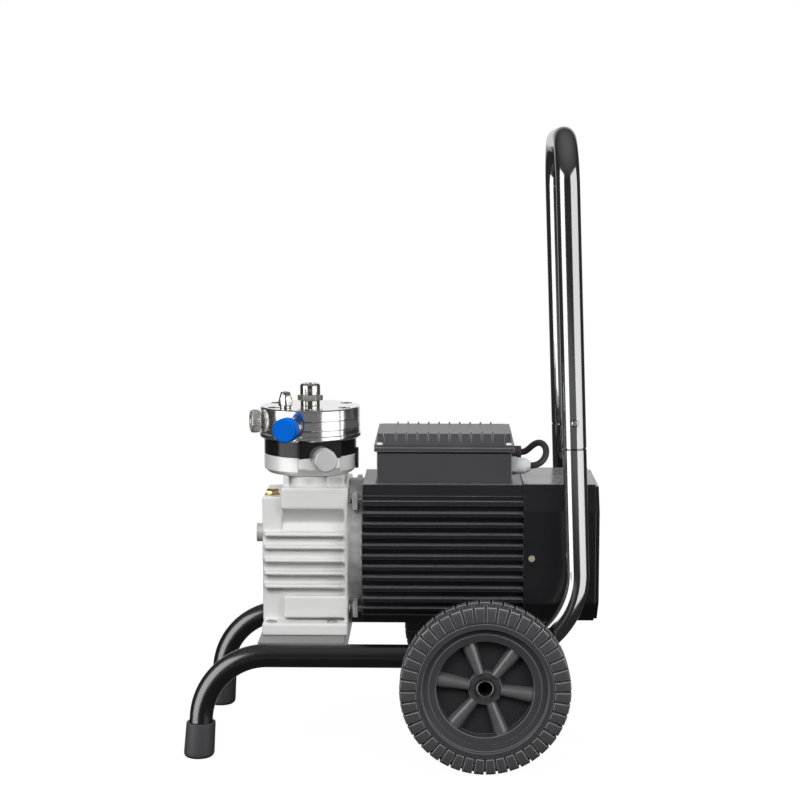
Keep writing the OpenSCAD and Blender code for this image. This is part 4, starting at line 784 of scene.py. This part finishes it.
spoke = lofted([spoke_ring(spoke_inner, spoke_hub_w), spoke_ring(spoke_outer, spoke_rim_w)])
for side, name in ((-1, "left"), (1, "right")):
    # The rounded edges take the paler finish: painted highlight.
    rim = edged(turned([(r * MM, z * MM) for r, z in rim_profile]), 0.6 * MM, edge_finish=1)
    # The web between the spokes takes the darker finish: painted shade.
    repaint(rim, 2, lambda face: abs(face.center.z - web_z * MM) < web_within
            and face.center.to_2d().length < dish_r * MM)
    spokes = grown(faired(spoke.copy(), 40), ring_of,
                   {"Count": spoke_count, "First": math.radians(spoke_first), "Paint": spoke_painted_highlight})
    # The spokes take the lighter finish: painted highlight.
    repaint(spokes, 3)
    wheel = stood(joined(rim, spokes), (wheel_x, side * wheel_y, wheel_z), (0, side, 0))
    piece("wheel_" + name + "_rim", wheel, name + "_wheel", "wheel_plastic",
          [wheel_plastic, rim_edge_highlight, web_painted_shade, spoke_painted_highlight], "wheel_" + name)

# ----------------------------------------------------------------------
# Tyres. Solid moulded rubber: a plain carcass on the rim and a ring of lugs down each shoulder,
# the two rings half a pitch apart. The lugs' edges are painted paler than the rest, a painted
# highlight, and the carcass between the lugs is painted lighter than the lugs, painted light that
# lifts the shade in the gaps.
# ----------------------------------------------------------------------
lug_count = 44
lug_gap = 2.6
carcass = [(78.1, -18.9), (80.1, -18.9), (80.1, -19), (93.5, -19), (97.5, -15), (97.5, 15),
           (93.5, 19), (80.1, 19), (80.1, 18.9), (78.1, 18.9)]
lug_side = [(81, 18.5), (81, 21.2), (83.2, 21.5), (95.6, 21.5), (98.8, 19.6), (99.8, 17), (99.8, 5),
            (92.5, 5)]
# The carcass is painted lighter than the lugs: painted light that lifts the shade in the gaps between them.
carcass_painted_light = finish("carcass_painted_light", (0.060, 0.060, 0.063), 0.60, fineness=700.0, level=0.3)
tyre_rubber = finish("tyre_rubber", (0.050, 0.050, 0.052), 0.58, fineness=700.0, blotches=30.0,
                     tone=0.18, relief=0.00003, level=0.4)
# The lugs' rounded edges take this paler finish: a painted highlight.
lug_edge_highlight = finish("lug_edge_highlight", (0.26, 0.26, 0.27), 0.55, fineness=200.0, blotches=90.0, tone=0.6,
                   relief=0.00001)
half_pitch = math.pi / lug_count
lug = lofted([[Vector((r, hand * (r * math.sin(half_pitch) - lug_gap / 2.0), z)) * MM for r, z in lug_side]
              for hand in (-1, 1)])
for side, name in ((-1, "left"), (1, "right")):
    rings = []
    for inner in (True, False):
        ring = grown(lug.copy(), ring_of, {"Count": lug_count, "First": 0.0 if inner else half_pitch,
                                           "Paint": tyre_rubber})
        if inner:
            ring.transform(Matrix.Scale(-1, 4, (0, 0, 1)))
            ring.flip_normals()
        # The lugs' rounded edges take the paler finish: painted highlight.
        rings.append(edged(ring, 0.55 * MM, steps=1, edge_finish=1))
    body = round_part(carcass, 1.5, sides=160)
    # The carcass takes the lighter finish: painted light in the gaps.
    repaint(body, 2)
    tyre = stood(joined(body, *rings), (wheel_x, side * wheel_y, wheel_z), (0, side, 0))
    piece("tread_" + name, tyre, name + "_wheel", "tyre_rubber", [tyre_rubber, lug_edge_highlight, carcass_painted_light],
          "tyre_" + name)

# ----------------------------------------------------------------------
# Deck and cross member. Folded sheet steel painted with the frame: a tray under the pump and a
# channel under the motor, with the bolts that hold both machines down.
# ----------------------------------------------------------------------
washer_profile = [(4.1, 0), (6.4, 0), (6.4, 1.1), (4.1, 1.1)]
washer_z = 0.15265
washer_places = [(x, y, washer_z) for x in (-0.14675, -0.07325) for y in (-0.063, 0.063)]
deck_paint = finish("deck_paint", (0.17, 0.17, 0.175), 0.34, fineness=400.0, blotches=30.0, tone=0.12,
                    spread=0.03, relief=0.000002)
dressed("pump_deck", "front_deck", "chassis", "frame_black", [deck_paint], 0.0010, steps=3)
dressed("motor_channel", "rear_crossmember", "chassis", "frame_black", [deck_paint], 0.0010, steps=3)
washers = []
for place in washer_places:
    washers.append(stood(round_part(washer_profile, 0.3, sides=40, angle=50), place, (0, 0, 1)))
bolts = edged(cad_copy("mounting_bolts"), 0.0004)
piece("deck_bolts", joined(bolts, *washers), "chassis", "zinc_steel", [zinc], "mounting_bolts")

# ----------------------------------------------------------------------
# Motor housing. A die cast shell in satin black with lengthwise cooling fins and cut corners;
# the fins' rounded edges are painted paler, a painted highlight, and the tops take pale dust with a
# painted reflection of the pale room.
# ----------------------------------------------------------------------
# The motor's tops turn pale grey: dust, and a painted reflection of the pale room.
motor_paint = finish("motor_paint", (0.010, 0.010, 0.012), 0.32, fineness=250.0, blotches=30.0,
                     tone=0.3, spread=0.04, relief=0.000006, level=0.4, dust_and_sheen=0.5)
# The fins' rounded edges take this paler finish: a painted highlight.
fin_edge_highlight = finish("fin_edge_highlight", (0.050, 0.050, 0.055), 0.30, fineness=250.0, blotches=20.0, tone=0.7,
                    spread=0.05, relief=0.000006)
dressed("finned_shell", "motor_housing", "chassis", "motor_black", [motor_paint, fin_edge_highlight], 0.0006,
        edge_finish=1)

# ----------------------------------------------------------------------
# Bell between motor and pump. Raw aluminium, mottled from the mould, with four lugs for the
# bright bolts that tie it to the motor.
# ----------------------------------------------------------------------
raw_casting = finish("raw_casting", (0.36, 0.36, 0.35), 0.42, metal=0.5, fineness=260.0, blotches=90.0,
                     tone=0.45, spread=0.14, relief=0.00012)
dressed("bell", "drive_bell", "chassis", "raw_casting", [raw_casting], 0.0010, steps=3)
dressed("tie_bolts", "bell_bolts", "chassis", "zinc_steel", [chrome], 0.0004)

# ----------------------------------------------------------------------
# Fan cowl and rear grille. Pressed steel in satin black over the fan, with a plastic grille cap
# and a screw through each side into the end shield.
# ----------------------------------------------------------------------
# The cowl's top turns pale grey: dust, and a painted reflection of the pale room.
cowl_paint = finish("cowl_paint", (0.010, 0.010, 0.012), 0.24, fineness=200.0, blotches=18.0, tone=0.2,
                    spread=0.03, relief=0.000004, dust_and_sheen=0.55)
dressed("cowl", "fan_cowl", "chassis", "cowl_black", [cowl_paint], 0.0012, steps=4, angle=20)
dressed("grille", "cowl_grille", "chassis", "cowl_black", [cowl_paint], 0.0006, angle=20)
pale_screw = finish("pale_screw", (0.80, 0.72, 0.52), 0.30, metal=0.75, tone=0.10, spread=0.05,
                    relief=0.000004)
lid_screw = finish("lid_screw", (0.86, 0.86, 0.85), 0.28, metal=0.2, tone=0.05, spread=0.03,
                   relief=0.000002)
lid_screw_floor = 0.36
screws = dressed("screws", "cover_screws", "chassis", "zinc_steel", [pale_screw, lid_screw], 0.0003)
repaint(screws.data, 1, lambda face: face.center.z > lid_screw_floor)

# ----------------------------------------------------------------------
# Terminal box. Grey moulded plastic with a rim, a ribbed lid on a gasket, corner screws, a pale
# gland where the lead leaves and a dark socket where it comes back. The rounded edges of the box,
# its rim and the lid's ribs are painted paler, a painted highlight.
# ----------------------------------------------------------------------
# The box's tops turn a little pale grey: dust, and a painted reflection of the pale room.
box_plastic = finish("box_plastic", (0.050, 0.050, 0.055), 0.36, fineness=600.0, tone=0.10,
                     spread=0.04, relief=0.00001, dust_and_sheen=0.15)
# The rounded edges of box and lid take this paler finish: a painted highlight.
box_edge_highlight = finish("box_edge_highlight", (0.20, 0.20, 0.21), 0.36, fineness=300.0, tone=0.3, spread=0.04,
                  relief=0.00001)
gland_plastic = finish("gland_plastic", (0.72, 0.74, 0.76), 0.34, fineness=600.0, tone=0.05,
                       relief=0.000006)
socket_plastic = finish("socket_plastic", (0.060, 0.052, 0.066), 0.40, fineness=600.0, tone=0.1)
dressed("box", "box_base", "chassis", "box_plastic", [box_plastic, box_edge_highlight], 0.0008, edge_finish=1)
dressed("lid", "box_lid", "chassis", "box_plastic", [box_plastic, box_edge_highlight], 0.0006, edge_finish=1)
dressed("glands", "cable_glands", "chassis", "gland_plastic", [gland_plastic], 0.0004)
dressed("socket", "lead_socket", "chassis", "socket_plastic", [socket_plastic], 0.0005)

# ----------------------------------------------------------------------
# Pump body. A painted iron casting: rounded inside and out by its mould, with a faint sand skin.
# The shell is remade in small cells and eased, so that every fin and corner has a cast radius.
# ----------------------------------------------------------------------
cast_cell = 0.0014
cast_ease = 6


def cuboid(low, high):
    """A block between two corners, in millimetres."""
    (x0, y0, z0), (x1, y1, z1) = low, high
    corners = ((x0, y0), (x1, y0), (x1, y1), (x0, y1))
    return lofted([[Vector((x, y, z)) * MM for x, y in corners] for z in (z0, z1)])


def cast(shape):
    """The shape with the small radii of a casting."""
    block = placed("block", shape)
    cells = block.modifiers.new("cells", "REMESH")
    cells.mode = "VOXEL"
    cells.voxel_size = cast_cell
    ease = block.modifiers.new("ease", "SMOOTH")
    ease.factor = 0.5
    ease.iterations = cast_ease
    mesh = baked(block)
    mesh.shade_smooth()
    return mesh


pump_paint = finish("pump_paint", (0.65, 0.65, 0.635), 0.36, fineness=420.0, blotches=22.0, tone=0.04,
                    spread=0.06, relief=0.00004)
head_x = -102.75
neck_low, neck_high = 316.0, 330.0
neck_r = 22.0
neck_reach = 30.0
saddle_y = 46.0
saddle_spans = ((-133.0, -126.0), (-80.0, -58.0))
saddles = [cuboid((x0, -saddle_y, neck_low), (x1, saddle_y, neck_high)) for x0, x1 in saddle_spans]
neck_turns = [math.radians(5.0 + 10.0 * i) for i in range(36)]
neck_outline = [(head_x + neck_r * math.cos(a),
                 math.copysign(neck_reach, math.sin(a)) + neck_r * math.sin(a)) for a in neck_turns]
neck = lofted([[Vector((x, y, z)) * MM for x, y in neck_outline] for z in (neck_low, neck_high)])
slope_ends = (-134.0, -56.5)
slope_outline = [(59.6, 292.0), (30.0, 292.0), (30.0, 273.0), (40.8, 273.0)]
slopes = [lofted([[Vector((x, side * y, z)) * MM for y, z in slope_outline] for x in slope_ends])
          for side in (-1, 1)]
pump_shape = joined(cad_copy("pump_body"), neck, *saddles, *slopes)
piece("pump_casting", cast(pump_shape), "chassis", "pump_casting", [pump_paint], "pump_body")
brass = finish("brass", (0.60, 0.44, 0.21), 0.22, metal=1.0, blotches=80.0, spread=0.06)
plug_place = Vector((-147.75, -28.0, 304.05)) * MM
plug_seat = round_part([(0, -9), (5, -9), (5, 0.1), (9, 0.1), (9, 1.6), (0, 1.6)], 0.4, sides=48)


def hexagon(radius, height, first=30.0):
    """The six corners of a nut at a height, in metres; first turns them, and 30 puts one to the camera."""
    return [Vector((radius * math.cos(a), radius * math.sin(a), height)) * MM
            for a in [math.radians(first + 60.0 * i) for i in range(6)]]


plug_profile = ((8.4, 1.3), (8.8, 2.0), (8.8, 5.0), (6.6, 7.4))
plug_head = edged(lofted([hexagon(r, z) for r, z in plug_profile]), 0.0005)
plug = stood(joined(plug_seat, plug_head), plug_place, (0, 0, 1))
piece("oil_plug", plug, "chassis", "brass_plug", [brass], "filler_plug")
nickel = finish("nickel", (0.70, 0.68, 0.64), 0.16, metal=1.0, fineness=200.0, blotches=60.0,
                tone=0.08, spread=0.05, relief=0.000001)
plug_metal = finish("plug_metal", (0.74, 0.74, 0.73), 0.34, metal=0.5, blotches=50.0, tone=0.06,
                    relief=0.000005)
dressed("level_plug", "sight_plug", "chassis", "fitting_nickel", [plug_metal], 0.0006, steps=3)

# ----------------------------------------------------------------------
# Head. A bright lower ring, a gloss black ring and a polished steel disc, clamped by six socket
# screws sunk in the disc.
# ----------------------------------------------------------------------
bright_ring = finish("bright_ring", (0.86, 0.86, 0.85), 0.30, metal=0.1, fineness=200.0, blotches=30.0,
                     tone=0.03, spread=0.01, relief=0.0000005)
black_ring = finish("black_ring", (0.010, 0.010, 0.011), 0.16, fineness=200.0, tone=0.2, spread=0.03,
                    relief=0.000001, level=0.35)
polished = finish("polished", (0.80, 0.80, 0.80), 0.15, metal=1.0, blotches=14.0, tone=0.03,
                  spread=0.03, relief=0.000001)
screw_black = finish("screw_black", (0.030, 0.030, 0.031), 0.38, metal=0.5, tone=0.2, relief=0.000004)
dressed("lower_ring", "head_housing", "chassis", "head_bright", [bright_ring], 0.0008, steps=3)
dressed("middle_ring", "head_spacer", "chassis", "head_black", [black_ring], 0.0006, steps=3)
dressed("top_disc", "head_disc", "chassis", "head_steel", [polished], 0.0005, steps=3)
dressed("head_screws", "head_bolts", "chassis", "zinc_steel", [screw_black], 0.0004)

# ----------------------------------------------------------------------
# Head fittings. The suction stub with its hexagon, the small return port with a six-sided cone and
# the hose outlet with its knurled nut, all nickel plated, and the black plug towards the motor.
# ----------------------------------------------------------------------
black_plug = finish("black_plug", (0.020, 0.020, 0.022), 0.30)
satin_nickel = finish("satin_nickel", (0.70, 0.68, 0.63), 0.30, metal=0.85, fineness=200.0,
                      blotches=90.0, tone=0.12, spread=0.06, relief=0.000002)
disc_top = 411.2
ridge_fill = 0.62
ridge_sink = 0.2
ridge_root = 0.4


def knurl(radius, low, high, count, depth=0.6):
    """Fine ridges along a round grip, repeated round the Z axis."""
    half_width = math.pi * radius / count * ridge_fill
    ends = []
    for z, share in ((low, 0.0), (low + depth, 1.0), (high - depth, 1.0), (high, 0.0)):
        crest = radius - ridge_sink + (depth + ridge_sink) * share
        ends.append([Vector(p) * MM for p in ((radius - ridge_root, -half_width, z), (crest, 0.0, z),
                                              (radius - ridge_root, half_width, z))])
    return grown(lofted(ends), ring_of, {"Count": count, "First": 0.0, "Paint": satin_nickel})


stub = round_part([(7, -8), (10, -8), (10, 0.1), (12, 0.1), (12, 6), (10.5, 7), (10.5, 12.5), (12.5, 13.5),
                   (12.5, 25), (10.6, 27.3), (7, 27.3)], 0.5)
flange_profile = ((15.2, 6.2), (15.9, 7.0), (15.9, 12.2), (15.2, 13.0))
flange = edged(lofted([hexagon(r, z, 0.0) for r, z in flange_profile]), 0.0005)
repaint(flange, 1)
suction = stood(joined(stub, flange), Vector((head_x, 0.0, disc_top)) * MM, (0, 0, 1))
piece("suction_stub", suction, "chassis", "fitting_nickel", [nickel, satin_nickel], "suction_inlet")
port_low, port_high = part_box("return_port")
port_shift = 0.0015
port_place = ((port_low[0] + port_high[0]) / 2.0 + port_shift, (port_low[1] + port_high[1]) / 2.0,
              disc_top * MM)
port_bore_r, port_bore_l, crown_top = 2.6, 12.0, 20.0
crown_profile = ((8.6, 2.6), (9.6, 3.6), (9.6, 9.0), (6.6, 18.8), (5.8, crown_top))
crown = edged(lofted([hexagon(r, z) for r, z in crown_profile]), 0.0004)
port_bore = drill_mesh(port_bore_r * MM, port_bore_l * MM, [((0.0, 0.0, crown_top * MM), (0, 0, 1))])
crown = drilled(crown, port_bore)
collar_profile = [(port_bore_r, -8), (5.5, -8), (5.5, 0.1), (7, 0.1), (7, 2.8), (port_bore_r, 2.8)]
port = joined(faired(crown, 25), round_part(collar_profile, 0.3, sides=40))
port = stood(port, port_place, (0, 0, 1))
piece("return_stub", port, "chassis", "fitting_nickel", [nickel], "return_port")
outlet_turn = math.radians(75)
outlet_z = 393.4
grip_r = 13.6
outlet_way = (-math.sin(outlet_turn), -math.cos(outlet_turn), 0.0)
outlet_nut = round_part([(4.5, 24), (8, 24), (8, 62.2), (grip_r, 63.8), (grip_r, 74.7), (7, 74.7), (7, 71),
                         (4.5, 71)], 1.6)
outlet = joined(outlet_nut, knurl(grip_r, 65.2, 73.2, 32))
outlet = stood(outlet, Vector((head_x, 0.0, outlet_z)) * MM, outlet_way)
piece("outlet_stub", outlet, "chassis", "fitting_nickel", [satin_nickel], "hose_outlet")
dressed("side_plug", "bleed_plug", "chassis", "black_plug", [black_plug], 0.0006, steps=3)

# ----------------------------------------------------------------------
# Valves and knobs. The relief valve's knob is anodised blue, the pressure valve's is brushed grey
# metal; each turns on the stem that stands out of its collar. The pressure valve's collar is knurled.
# ----------------------------------------------------------------------
knob_blue = finish("knob_blue", (0.0, 0.118, 0.58), 0.36, blotches=40.0, tone=0.04, spread=0.03,
                   relief=0.000001, level=0.03)
knob_grey = finish("knob_grey", (0.56, 0.56, 0.56), 0.34, metal=0.4, fineness=200.0, blotches=40.0,
                   tone=0.05, spread=0.04, relief=0.000001)
dressed("relief_collar", "relief_valve", "chassis", "fitting_nickel", [nickel], 0.0004, steps=3)
boss_turn = math.radians(15)
boss_z = 355.15
pressure_way = (math.sin(boss_turn), -math.cos(boss_turn), 0.0)
grip = stood(knurl(13.0, 61.5, 80.0, 34), Vector((head_x, 0.0, boss_z)) * MM, pressure_way)
collar = joined(edged(cad_copy("pressure_valve"), 0.0004, steps=3), grip)
piece("pressure_collar", collar, "chassis", "fitting_nickel", [satin_nickel], "pressure_valve")
dressed("blue_knob", "relief_knob", "relief_control", "relief_blue", [knob_blue], 0.0009, steps=4)
dressed("grey_knob", "pressure_knob", "pressure_control", "knob_grey", [knob_grey], 0.0009, steps=4)

# ----------------------------------------------------------------------
# Inside. The pieces that only show when the machine is opened keep their CAD shapes.
# ----------------------------------------------------------------------
laminations = finish("laminations", (0.30, 0.30, 0.31), 0.45, metal=1.0, fineness=1200.0, tone=0.2)
copper = finish("copper", (0.72, 0.33, 0.15), 0.32, metal=1.0, fineness=900.0, tone=0.25,
                relief=0.00010)
seal_rubber = finish("seal_rubber", (0.020, 0.020, 0.021), 0.60, tone=0.2)
can_plastic = finish("can_plastic", (0.58, 0.59, 0.60), 0.40, tone=0.08)
fan_plastic = finish("fan_plastic", (0.030, 0.030, 0.032), 0.45, tone=0.12)
inside = {laminations: ("stator_core", "rotor_core"),
          copper: ("stator_windings",),
          spring_steel: ("piston_spring", "shaft_bearings"),
          bright_ring: ("rotor_shaft", "eccentric", "eccentric_race", "piston", "piston_sleeve"),
          seal_rubber: ("lid_gasket", "diaphragm"),
          can_plastic: ("capacitors",),
          fan_plastic: ("cooling_fan",),
          raw_casting: ("rear_shield",)}
for material, names in inside.items():
    for name in names:
        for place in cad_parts[name].material_slots:
            place.material = material
